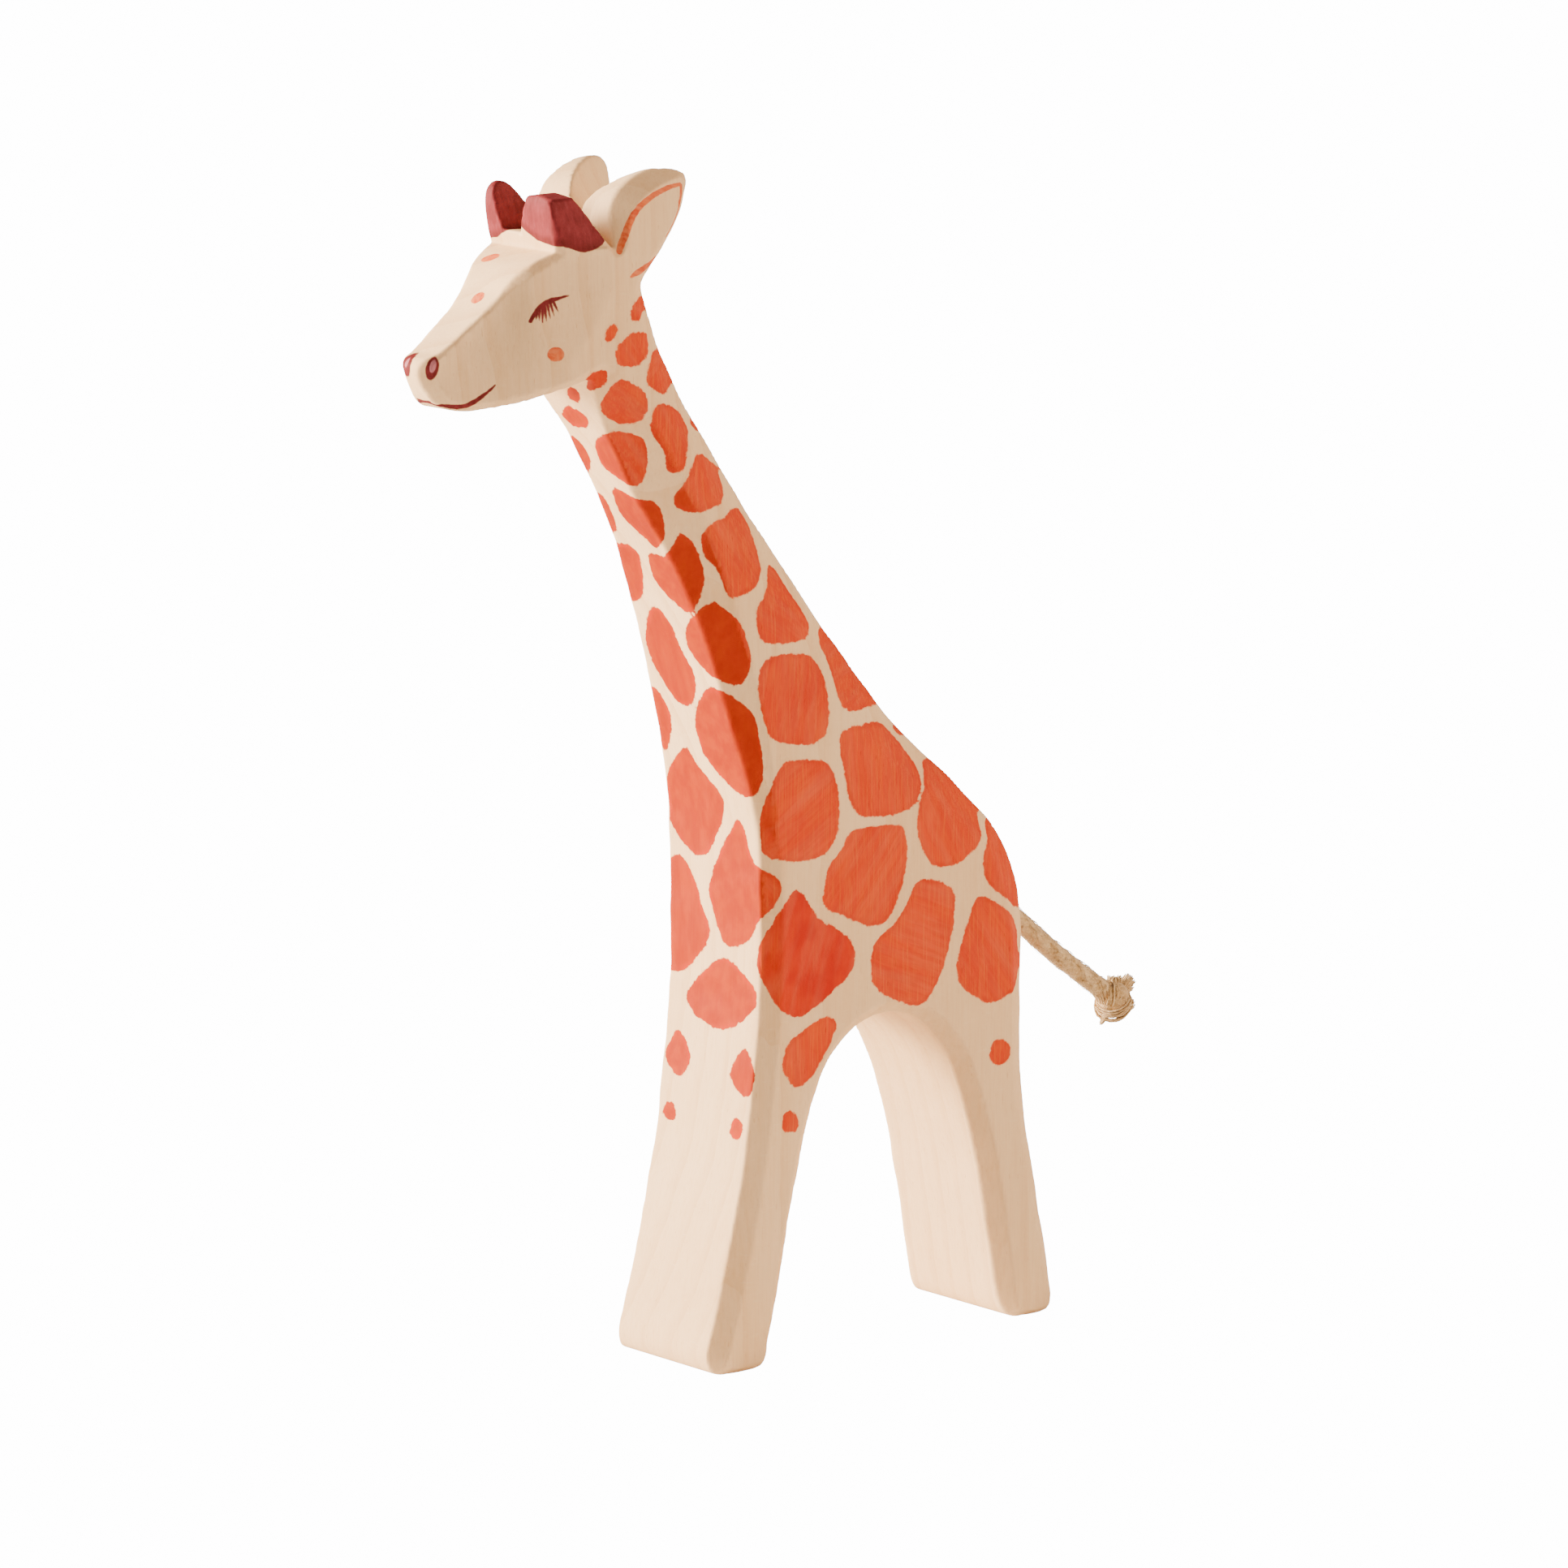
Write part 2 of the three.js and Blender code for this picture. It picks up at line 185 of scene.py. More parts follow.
def knot_piece():
    """the overhand knot: the cord's own strands, spread flat, wound round once and pulled tight"""
    h = Heap()
    C = tail_point(KNOT_AT)

    def at(a, b, c):      # a along the cord, b up, c sideways
        return C+TAIL_DIR*a+TAIL_UP*b+TAIL_SIDE*c
    # core
    core = []
    for i in range(15):
        t = i/14
        core.append(at(-2.9+5.2*t, 0.15*math.sin(3*t), 0))
    h.tube(core, [1.6+1.6*math.sin(math.pi*min(1, (i+.6)/14.5)) for i in range(15)], 26, up=TAIL_UP, shade=.45, rough=.02)
    # loops: bundles of flat fibres that lie over each other
    loops = [
        # centre, radius, axis tilt (turn about up), (turn about side), start, sweep, bundle radius
        ((-1.2, 0.2, 0.0), 2.75, 0.30, 0.50, 0.2, 6.1, 1.05),
        ((0.5, -0.75, 0.0), 3.35, -0.45, -0.40, 2.2, 6.0, 1.15),
        ((1.9, 0.0, 0.0), 2.75, 0.25, -0.80, 4.0, 5.8, 1.0),
    ]
    for n, (c, R, ty, tz, a0, sw, br) in enumerate(loops):
        ax = np.array([1.0, 0.0, 0.0])
        ax = np.array([math.cos(ty)*math.cos(tz), math.sin(tz), math.sin(ty)*math.cos(tz)])
        ax /= np.linalg.norm(ax)
        e1 = np.cross(ax, [0, 0, 1.0]); e1 /= np.linalg.norm(e1)
        e2 = np.cross(ax, e1)
        for s in range(26):
            # every strand keeps its own place in the bundle
            ra = rng.uniform(0, 2*math.pi)
            rr = br*math.sqrt(rng.uniform(0.05, 1))
            off, wid = rr*math.cos(ra)*1.25, rr*math.sin(ra)*0.62
            pts = []
            m = 17
            st = rng.uniform(-.25, .25)
            for i in range(m):
                t = i/(m-1)
                a = a0+st+sw*t
                tight = R-0.5+wid+0.12*math.sin(5*a+s)
                q = ax*(off+0.35*math.sin(a*1.0+n))+(e1*math.cos(a)+e2*math.sin(a))*tight
                pts.append(at(c[0]+q[0], c[1]+q[1], c[2]+q[2]))
            w = rng.uniform(0.22, 0.42)
            h.tube(pts, [w*(0.55+0.45*math.sin(math.pi*(i+.5)/m)) for i in range(m)], 6, flat=0.5, up=TAIL_UP+.01, c0=s*3.1, shade=rng.uniform(.15, 1))
    # collar strands where the straight cord runs in
    for s in range(26):
        a = 2*math.pi*s/26+rng.uniform(-.1, .1)
        pts = []
        for i in range(8):
            t = i/7
            pts.append(tail_point(KNOT_AT-4.6+4.4*t, CORD_R*(0.92)+1.35*t**1.7, a+0.9*t))
        h.tube(pts, [0.2+.05*math.sin(i) for i in range(8)], 5, flat=.7, up=TAIL_UP+.01, c0=s, shade=rng.uniform(.35, .9))
    # loose wisps
    for s in range(46):
        a = rng.uniform(0, 2*math.pi); b = rng.uniform(-1, 1)
        d = np.array([b*2.6, math.cos(a)*3.1*math.sqrt(1-b*b*.5), math.sin(a)*3.1*math.sqrt(1-b*b*.5)])
        k = d/np.linalg.norm(d)
        side = np.cross(k, [rng.uniform(-1, 1), rng.uniform(-1, 1), rng.uniform(-1, 1)])
        side /= max(np.linalg.norm(side), .1)
        L = rng.uniform(.9, 1.9)
        pts = [at(*(d+side*L*(t-.5)+k*0.35*math.sin(math.pi*t))) for t in (0, .3, .6, 1)]
        h.tube(pts, [.05, .06, .05, .015], 3, c0=s, shade=rng.uniform(.5, 1), up=TAIL_UP+.01)
    # inner turn that closes the lower side
    h.tube([C+np.array([x, .3, -1.9]) for x in (-1.8, -.9, 0, .9, 1.8)], [.5, 1.3, 1.6, 1.3, .5], 18, up=TAIL_UP, shade=.4, rough=.02)
    # tip at the lower side
    for s in range(34):
        o = [rng.uniform(-.7, .7), rng.uniform(-.2, .2), rng.uniform(-.6, .6)]
        p0 = np.array([0, -1.6+o[0]*.8, -2.0+o[0]*.4])
        p1 = np.array([0, -2.9+o[0]*.5+rng.uniform(-.25, .25), -4.1+rng.uniform(-.25, .3)])
        pts = [C+p0*(1-t)+p1*t+np.array([o[2]*(1-.4*t), 0.12*math.sin(math.pi*t), 0]) for t in (0, .35, .7, 1)]
        h.tube(pts, [.24, .24, .18, .05], 5, c0=s, shade=rng.uniform(.55, 1), up=TAIL_SIDE)
    return h.build("cord_knot")


def tuft_piece():
    """frayed ends of the cord where they leave the knot, upwards and back"""
    h = Heap()
    C = tail_point(KNOT_AT)
    e1 = np.array([1.0, 0, 0])
    # (end point back and up, half width across, half width sideways, strands, lightness)
    groups = [((4.0, 3.7), .95, .9, 90, .75), ((0.3, 4.35), 1.25, .9, 80, .95), ((4.5, 1.6), .55, .7, 34, .6), ((3.5, 2.9), .8, .8, 40, .5)]
    for (gy, gz), wide, deep, count, light in groups:
        axis = np.array([0, gy, gz]); reach = np.linalg.norm(axis); axis = axis/reach
        e2 = np.cross(axis, e1)
        for s in range(count):
            sx, sy = rng.uniform(-1, 1)*deep, rng.uniform(-1, 1)*wide
            d0 = axis*1.2+e1*sx*.9+e2*sy*.75
            p1 = axis*reach*rng.uniform(.90, 1.03)+e1*sx*1.05+e2*sy*1.1
            mid = (d0+p1)/2+e1*rng.uniform(-.15, .15)+e2*rng.uniform(-.15, .15)
            pts = [C+d0*(1-t)**2+2*mid*t*(1-t)+p1*t*t for t in (0, .25, .5, .75, 1)]
            w = rng.uniform(.17, .30)
            h.tube(pts, [w, w, w, w*.85, w*.45], 5, flat=.6, c0=s*1.7, shade=rng.uniform(light-.4, 1), up=e1)
    return h.build("cord_tuft")


knot = knot_piece()
tuft = tuft_piece()

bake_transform(stub)
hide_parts("tail_cord_root", "tail_cord_upper")
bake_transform(run)
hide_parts("tail_cord_lower")
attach(knot, "tail_tip")
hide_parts("tail_knot")
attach(tuft, "tail_tip")
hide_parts("tail_tuft")

# ------------------------------------------------------------------ the carving's shape
YS = 1.3      # outline shift along y, as in the CAD frame (mm)

# outline of the carving in (y, z), millimetres, with the depth of the whittled edge:
# (y, z, cx, cy)  cx = how much the flank drops at the very edge, cy = how far in from the edge it starts
OUT = [
 # front sole, toe, front of the leg, chest
 (-3.6,0,1.6,1.4),(-11.0,0,1.6,1.4),(-12.9,0.6,1.9,1.7),(-13.8,2.3,2.3,3.0),(-13.8,4.5,2.4,3.2),(-12.3,9.6,2.4,3.3),(-10.6,16,2.4,3.3),
 (-9.0,22.3,2.4,3.3),(-7.3,29.5,2.3,3.3),(-5.8,36.6,2.3,3.3),(-4.0,49.4,2.3,3.3),(-2.5,62,2.3,3.3),(-1.9,74,2.3,3.2),(-1.9,85,2.3,3.3),(-2.4,95,2.3,2.7),
 (-3.6,103,3.0,3.3),(-5.3,110,3.8,4.0),(-8.3,120.4,4.6,4.6),(-10.6,127.8,4.8,4.8),(-13.4,135.2,5.0,5.0),(-18.3,146.8,6.0,6.0),
 (-23.5,156,6.8,6.6),(-30.0,167.7,6.2,6.2),(-33.6,173.8,4.6,5.0),(-36.4,178.6,2.4,3.4),
 # jaw, muzzle
 (-38.6,179.2,1.1,1.6),(-41.2,178.5,1.1,1.3),(-46.3,177.2,1.1,1.3),(-50.7,176,1.1,1.4),(-55.2,175.2,1.2,1.4),(-59.6,174.9,1.3,1.5),
 (-62.8,175.4,1.5,1.7),(-65,176.8,1.7,1.9),(-66.7,179.2,1.8,2.1),(-67.8,181.4,1.8,2.1),(-68,183,1.6,1.8),(-67.1,184.2,1.1,1.2),
 (-64.7,185.2,0.6,0.7),(-61.6,187.2,0.35,0.45),(-58.7,189.4,0.35,0.45),(-55.4,191.9,0.35,0.45),(-53,194.3,0.45,0.65),(-51.1,196.7,0.7,1),
 (-49,198.7,1,1.4),(-46.5,200.2,1.1,1.5),(-43.6,201.3,0.9,1.2),(-44.2,204.5,0.5,0.6),(-44.6,208.4,0.5,0.6),(-44.3,210.6,0.7,0.8),
 (-43,211.8,0.9,0.9),(-40.9,211.5,0.8,0.9),(-37.9,208.2,0.7,0.9),(-35.2,204.4,0.7,0.9),(-33.5,202,0.9,1.2),(-32.6,201.4,1.2,1.6),
 (-32.3,202.6,1.8,2),(-32.5,205.6,2.6,2.6),(-32,208.3,3,2.8),(-30.6,210.6,3.2,3),(-28.4,212.3,3.2,3),(-25.5,213.6,3,2.8),
 (-22.6,214.2,2.6,2.4),(-19.9,214.2,1.8,1.9),(-17.9,213.5,1,1.2),(-17.1,212,0.8,1),(-17.6,209.4,0.8,1.1),(-18.7,206.1,0.8,1.2),
 (-20.6,202.8,0.8,1.3),(-22.9,199.8,0.8,1.4),(-25.3,196.8,0.9,1.6),(-26.6,194.4,1.1,2),(-25.9,191.6,1.3,2.6),
 # nape, back of the neck, rump, back of the hind leg
 (-24.9,188.8,1.4,3),(-23.4,185.2,1.6,3.4),(-20.2,179.2,1.8,4),(-16.3,172.5,2,4.4),(-12.1,166.3,2.1,4.8),(-5.9,157.3,2.2,5.2),
 (0.9,147.4,2.3,5.6),(4.8,142,2.4,6),(10.9,133.4,2.4,6.4),(17.6,124.9,2.4,6.8),(24.6,116.2,2.3,6.4),(31,109.6,2.2,6),
 (36.9,104.5,2.2,5.6),(42.5,99.5,2.1,5.2),(47.1,95.2,2.1,4.8),(51,91.2,2,4.6),(54.2,86.2,2,4.4),(56.3,80.9,2,4.2),
 (57.4,76,2,4),(57.9,70,2,3.8),(57.8,62,2,3.6),(57.7,52,2,3.4),(58.2,42.2,2,3.2),(59.6,33,2,3),
 (61.8,22.1,2.1,2.8),(63.8,12.7,2.1,2.6),(65.2,5,2.1,2.4),(65.4,2.7,2.1,2.2),(64.7,0.8,1.9,1.8),(63,0,1.6,1.4),
 
 # hind sole, inner side of the hind leg
 (57.0,0,1.6,1.4),(55.2,0.5,1.9,1.7),(53.9,2.0,2.3,2.3),(53.0,4.6,2.6,2.6),(51.4,12.8,2.8,2.8),(49.7,22,2.8,2.8),(47.6,32,2.8,2.8),(45.0,41,2.7,2.8),(42.2,48.2,2.6,2.8),
 # arch, inner side of the front leg
 (39.8,52.2,2.5,2.7),(36.6,55.8,2.4,2.6),(32.6,58.6,2.2,2.5),(28,60.0,2.0,2.4),(23.6,60.0,1.9,2.3),(19.6,58.8,1.8,2.2),(16.6,56.9,1.8,2.2),
 (13.8,54.2,1.8,2.2),(11.2,50.2,1.8,2.2),(9.1,45.4,1.8,2.3),(6.9,37.6,1.8,2.3),(4.9,29,1.8,2.3),(3.0,20.5,1.8,2.3),(1.3,11.9,1.7,2.2),(-0.2,4.8,2.0,2.2),
 (-0.7,2.4,2.0,2.0),(-1.9,0.6,1.8,1.6),
]
SHARP = [(-43.6,201.3),(-38.6,179.2)]   # corners the spline keeps crisp

def dense(pts, per=5):
    """closed centripetal Catmull-Rom through the points, linear in the edge data"""
    P = np.array(pts, float); n = len(P); out = []
    XY = P[:, :2]
    for i in range(n):
        p0, p1, p2, p3 = XY[i-1], XY[i], XY[(i+1) % n], XY[(i+2) % n]
        if any(abs(p1[0]-s[0]) < 1e-6 and abs(p1[1]-s[1]) < 1e-6 for s in SHARP): p0 = p1-(p2-p1)
        if any(abs(p2[0]-s[0]) < 1e-6 and abs(p2[1]-s[1]) < 1e-6 for s in SHARP): p3 = p2+(p2-p1)
        d01, d12, d23 = [max(np.linalg.norm(b-a), 1e-4)**.5 for a, b in ((p0, p1), (p1, p2), (p2, p3))]
        t0, t1, t2, t3 = 0, d01, d01+d12, d01+d12+d23
        for k in range(per):
            t = t1+(t2-t1)*k/per
            A1 = (t1-t)/(t1-t0)*p0+(t-t0)/(t1-t0)*p1; A2 = (t2-t)/(t2-t1)*p1+(t-t1)/(t2-t1)*p2; A3 = (t3-t)/(t3-t2)*p2+(t-t2)/(t3-t2)*p3
            B1 = (t2-t)/(t2-t0)*A1+(t-t0)/(t2-t0)*A2; B2 = (t3-t)/(t3-t1)*A2+(t-t1)/(t3-t1)*A3
            C = (t2-t)/(t2-t1)*B1+(t-t1)/(t2-t1)*B2
            w = k/per
            out.append([C[0], C[1], *(P[i, 2:]*(1-w)+P[(i+1) % n, 2:]*w)])
    return np.array(out)

CURVE = dense(OUT)
CURVE[:, 0] += YS

# fine grid in (y, z) holding the outline's distance and the edge data
GS = 0.4
GY = np.arange(-73, 73+GS, GS); GZ = np.arange(-4, 220+GS, GS)

def blur(m, times):
    for _ in range(times):
        m[1:-1, 1:-1] = (m[1:-1, 1:-1]*2+m[:-2, 1:-1]+m[2:, 1:-1]+m[1:-1, :-2]+m[1:-1, 2:])/6
    return m

def build_maps():
    a = CURVE[:, :2]; b = np.roll(a, -1, 0); e = b-a; L = np.maximum((e*e).sum(1), 1e-12)
    data = CURVE[:, 2:]; dn = np.roll(data, -1, 0)
    inside = np.zeros((len(GY), len(GZ)), bool)
    for k, z in enumerate(GZ):
        c = (a[:, 1] > z) != (b[:, 1] > z)
        xs = a[c, 0]+(z-a[c, 1])/e[c, 1]*e[c, 0]
        inside[:, k] = (xs[None] > GY[:, None]).sum(1) % 2 == 1
    D = np.empty(inside.shape); cx = np.empty(inside.shape); cy = np.empty(inside.shape)
    T = 16
    for i in range(0, len(GY), T):
        for j in range(0, len(GZ), T):
            yy, zz = np.meshgrid(GY[i:i+T], GZ[j:j+T], indexing='ij')
            q = np.stack([yy.ravel(), zz.ravel()], 1)
            c = q.mean(0); rad = np.hypot(*(q-c).T).max()
            t = np.clip(((c-a)*e).sum(1)/L, 0, 1); d = np.hypot(*((c-a)-t[:, None]*e).T)
            s = np.where(d <= d.min()+2*rad+.01)[0]
            w = q[:, None]-a[s][None]
            t = np.clip((w*e[s]).sum(2)/L[s], 0, 1)
            v = w-t[..., None]*e[s]
            d2 = (v*v).sum(2); m = d2.argmin(1); r = np.arange(len(q)); g = s[m]; tt = t[r, m][:, None]
            D[i:i+T, j:j+T] = np.sqrt(d2[r, m]).reshape(yy.shape)
            X = data[g]*(1-tt)+dn[g]*tt
            cx[i:i+T, j:j+T] = X[:, 0].reshape(yy.shape); cy[i:i+T, j:j+T] = X[:, 1].reshape(yy.shape)
    D = np.where(inside, -D, D)
    return D, blur(cx, 8), blur(cy, 8)
MAP_D, MAP_CX, MAP_CY = build_maps()

def smooth(a, b, x):
    t = np.clip((x-a)/(b-a), 0, 1); return t*t*(3-2*t)
# half thickness by height, trunk to neck
ZH = np.array([0, 96, 110, 122, 135, 147, 158, 170, 185, 220.])
HH = np.array([15, 15, 14.95, 14.75, 14.2, 13.2, 12.35, 12.1, 12.1, 12.1])
# half width of the head at the forehead ridge and at the jaw, by y (before the shift)
YW = np.array([-70, -68.5, -66.5, -64.3, -61.3, -58.2, -55.1, -52.2, -50.7, -48.8, -46.5, -42.8, -39.5, -36, -32, -28.])
WT = np.array([3.2, 3.7, 4.1, 4.2, 4.4, 4.7, 5.2, 6.1, 6.9, 8.3, 10.0, 11.6, 12.1, 12.1, 12.1, 12.1])
WB = np.array([2.6, 3.2, 3.9, 4.7, 5.6, 6.6, 7.7, 8.8, 9.5, 10.2, 11.0, 12.0, 12.1, 12.1, 12.1, 12.1])
# edge of the cheek's facet, (z, y)
CHEEK_Z = [176, 178.9, 181.2, 183.5, 186.1, 188.7, 192, 195.4, 199.6, 202.1]
CHEEK_Y = [-47, -45.1, -43.3, -41.5, -39.4, -37.1, -35.4, -33.6, -33.6, -35.3]
def half_map():
    yy, zz = np.meshgrid(GY-YS, GZ, indexing='ij')
    h = np.interp(zz, ZH, HH)
    top = np.interp(yy, [-69, -64.4, -58.4, -52.6, -50.8, -48.6, -46.2, -43, -36], [183.5, 184.8, 189, 194, 196.4, 198.4, 199.9, 201.3, 202])
    bot = np.interp(yy, [-69, -66, -63.6, -60, -55.2, -50.7, -46.3, -41, -34], [180, 176.9, 175.5, 175.1, 175.5, 176.3, 177.4, 178.6, 180])
    t = smooth(0, 1, np.clip((top-zz)/np.maximum(top-bot, 1), 0, 1))
    w = np.interp(yy, YW, WT)*(1-t)+np.interp(yy, YW, WB)*t
    w = np.minimum(w, 12.1-0.24*np.maximum(np.interp(zz, CHEEK_Z, CHEEK_Y)-yy, 0))
    h = np.where((zz > 174.0) & (yy < -31), np.minimum(h, w), h)
    return blur(h, 7)
MAP_H = half_map()

def look(m, y, z):
    u = np.clip((y-GY[0])/GS, 0, m.shape[0]-1.001); v = np.clip((z-GZ[0])/GS, 0, m.shape[1]-1.001)
    i = u.astype(int); j = v.astype(int); a = u-i; b = v-j
    return (m[i, j]*(1-a)+m[i+1, j]*a)*(1-b)+(m[i, j+1]*(1-a)+m[i+1, j+1]*a)*b

def smax(a, b, k):
    h = np.clip(0.5+0.5*(a-b)/k, 0, 1)
    return b*(1-h)+a*h+k*h*(1-h)

def flank(D, cx, cy, h):
    """half thickness at depth -D from the outline, with the whittled edge"""
    e = np.clip(-D, 0, None)/np.maximum(cy, .1)
    r = 0.10      # softness of the line between flank and chamfer
    s = 1-e
    drop = np.where(s > r, s, np.where(s < -r, 0, (s+r)**2/(4*r)))
    drop = np.where(s > r, s, drop)
    return h-cx*drop

def wobble(x, y, z):
    """slow unevenness of hand sanding, in mm"""
    return smooth(0.6, 4.0, z)*(0.10*np.sin(0.21*y+0.9+0.05*z)*np.sin(0.17*z+0.4)+0.07*np.sin(0.43*z+1.3+0.11*x)*np.sin(0.29*y-0.7)
            +0.04*np.sin(0.9*z+0.7*y)*np.sin(0.61*y+2.0-0.3*x))

def field_parts(x, D, cx, cy, h, y, z):
    yr = y-YS
    # the right ear keeps a flat front, without the broad outer bevel of the left one
    cx = cx*(1-0.7*smooth(200.5, 204, z)*smooth(0.6, -0.6, x)*smooth(-34, -32.8, yr))
    X = flank(D, cx, cy, h)
    ang = cx/np.maximum(cy, .1)
    inE = smooth(1.15, 0.85, -D/np.maximum(cy, .1))
    side = (np.abs(x)-X)/np.sqrt(1+(ang*inE)**2)
    f = smax(D, side, 0.42)
    # notch between the ears: two slanting cuts that meet in a valley running down to the nape
    notchE = smax(-(0.82*(0.7-np.abs(x))+0.39*(yr+32)+0.42*(z-206.5)), -33.6-yr, .6)
    # notch between the horns, wider at the top
    zn = z-204
    notchH = smax((np.abs(x+2.5+0.04*zn)-(2.5+0.33*zn))*0.95, smax(203.9-z, yr+33.0, .6), .5)
    # outer faces of the horns lean inwards on the left, stay upright on the right
    lim = np.where(x > 0, 11.4-(z-201.5)*0.32, 11.4-(z-201.5)*0.02)
    hornzone = smax(smax(201.8-z, yr+34.0, .5), lim-np.abs(x), .5)
    top = smax(210.9-0.16*np.abs(x-5)-z, smax(yr+34.0, -x, .5), .5)
    cut = np.minimum(np.minimum(notchE, notchH), np.minimum(hornzone, top))
    f = smax(f, -cut, 0.5)
    return f+wobble(x, y, z)

# ---- paint chart: the skin unrolled from the middle of the front face (A = 0), left side positive
FRONT_Z = [-5, 0, 4.5, 16, 29.5, 49.4, 74, 85, 95, 103, 110, 120.4, 127.8, 135.2, 146.8, 156, 167.7, 173.8, 178.6, 220]
FRONT_Y = [-13.8, -13.8, -13.8, -10.6, -7.3, -4.0, -1.9, -1.9, -2.4, -3.6, -5.3, -8.3, -10.6, -13.4, -18.3, -23.5, -30.0, -33.6, -36.4, -60.6]
BACK_Z = [-5, 5, 22.1, 42.2, 52, 70, 76, 80.9, 86.2, 91.2, 95.2, 99.5, 104.5, 109.6, 116.2, 124.9, 133.4, 142, 147.4, 157.3, 166.3, 179.2, 188.8, 194.4, 202.8, 220]
BACK_Y = [65.2, 65.2, 61.8, 58.2, 57.7, 57.9, 57.4, 56.3, 54.2, 51, 47.1, 42.5, 36.9, 31, 24.6, 17.6, 10.9, 4.8, 0.9, -5.9, -12.1, -20.2, -24.9, -26.6, -20.6, -15]
def chart(x, y, z):
    f = np.interp(z, FRONT_Z, FRONT_Y)+YS; b = np.interp(z, BACK_Z, BACK_Y)+YS
    h = np.interp(z, ZH, HH)
    t = np.maximum(h-np.abs(x), 0)
    e = y-f
    s = np.where(y > 0.5*(f+b), -1.0, 1.0)
    return np.where(x < 0, -1.0, 1.0)*(h+e-s*t)

def field(p):
    x, y, z = p[:, 0], p[:, 1], p[:, 2]
    return field_parts(x, look(MAP_D, y, z), look(MAP_CX, y, z), look(MAP_CY, y, z), look(MAP_H, y, z), y, z)

def grad(p, e=0.05):
    g = np.empty_like(p)
    for k in range(3):
        d = np.zeros(3); d[k] = e
        g[:, k] = (field(p+d)-field(p-d))/(2*e)
    return g

def surface(step=0.62):
    xs = np.arange(-16.2, 16.2+step, step); ys = np.arange(-69.5, 69.5+step, step); zs = np.arange(-1.6, 216.6+step, step)
    yy, zz = np.meshgrid(ys, zs, indexing='ij')
    D, cx, cy, h = [look(m, yy, zz) for m in (MAP_D, MAP_CX, MAP_CY, MAP_H)]
    F = np.stack([field_parts(np.full_like(yy, x), D, cx, cy, h, yy, zz) for x in xs]).astype(np.float32)
    org = np.array([xs[0], ys[0], zs[0]])
    S = F < 0
    # cells crossed by the surface
    nx, ny, nz = F.shape
    cnt = np.zeros((nx-1, ny-1, nz-1), np.uint8)
    for i in (0, 1):
        for j in (0, 1):
            for k in (0, 1):
                cnt += S[i:nx-1+i, j:ny-1+j, k:nz-1+k]
    act = (cnt > 0) & (cnt < 8)
    idx = -np.ones(act.shape, np.int64); cells = np.argwhere(act); idx[act] = np.arange(len(cells))
    acc = np.zeros((len(cells), 3)); num = np.zeros(len(cells))
    corners = [(i, j, k) for i in (0, 1) for j in (0, 1) for k in (0, 1)]
    for a in corners:
        for ax in range(3):
            if a[ax]: continue
            b = list(a); b[ax] = 1; b = tuple(b)
            fa = F[cells[:, 0]+a[0], cells[:, 1]+a[1], cells[:, 2]+a[2]]; fb = F[cells[:, 0]+b[0], cells[:, 1]+b[1], cells[:, 2]+b[2]]
            m = (fa < 0) != (fb < 0)
            t = np.where(m, fa/np.where(m, fa-fb, 1), 0)
            p = np.tile(np.array(a, float), (len(cells), 1)); p[:, ax] += t
            acc[m] += p[m]; num[m] += 1
    V = org+(cells+acc/num[:, None])*step
    Q = []
    for ax in range(3):
        b, c = [(1, 2), (2, 0), (0, 1)][ax]
        sl0 = [slice(None)]*3; sl1 = [slice(None)]*3
        sl0[ax] = slice(0, -1); sl1[ax] = slice(1, None)
        A = S[tuple(sl0)]; B = S[tuple(sl1)]
        E = np.argwhere(A != B)
        ok = (E[:, b] > 0) & (E[:, c] > 0) & (E[:, b] < F.shape[b]-1) & (E[:, c] < F.shape[c]-1)
        E = E[ok]
        inside = A[E[:, 0], E[:, 1], E[:, 2]]
        def cell(db, dc):
            q = E.copy(); q[:, b] -= db; q[:, c] -= dc
            return idx[q[:, 0], q[:, 1], q[:, 2]]
        q = np.stack([cell(1, 1), cell(0, 1), cell(0, 0), cell(1, 0)], 1)
        q[~inside] = q[~inside][:, ::-1]
        Q.append(q)
    Q = np.concatenate(Q)
    for _ in range(4):
        g = grad(V); f = field(V)
        V = V-np.clip(f/np.maximum((g*g).sum(1), .2), -0.25, .25)[:, None]*g
    V[:, 2] = np.maximum(V[:, 2], 0)
    return V, Q

_plain_field_parts = field_parts


def field_parts(x, D, cx, cy, h, y, z):
    """the carving with the blind hole for the tail"""
    f = _plain_field_parts(x, D, cx, cy, h, y, z)
    qy, qz = y-TAIL_EXIT[1], z-TAIL_EXIT[2]
    d = qy*TAIL_DIR[1]+qz*TAIL_DIR[2]
    r = np.sqrt(np.maximum(x*x+qy*qy+qz*qz-d*d, 0))
    return smax(f, -smax(r-2.1, -(d+11.8), .3), .25)


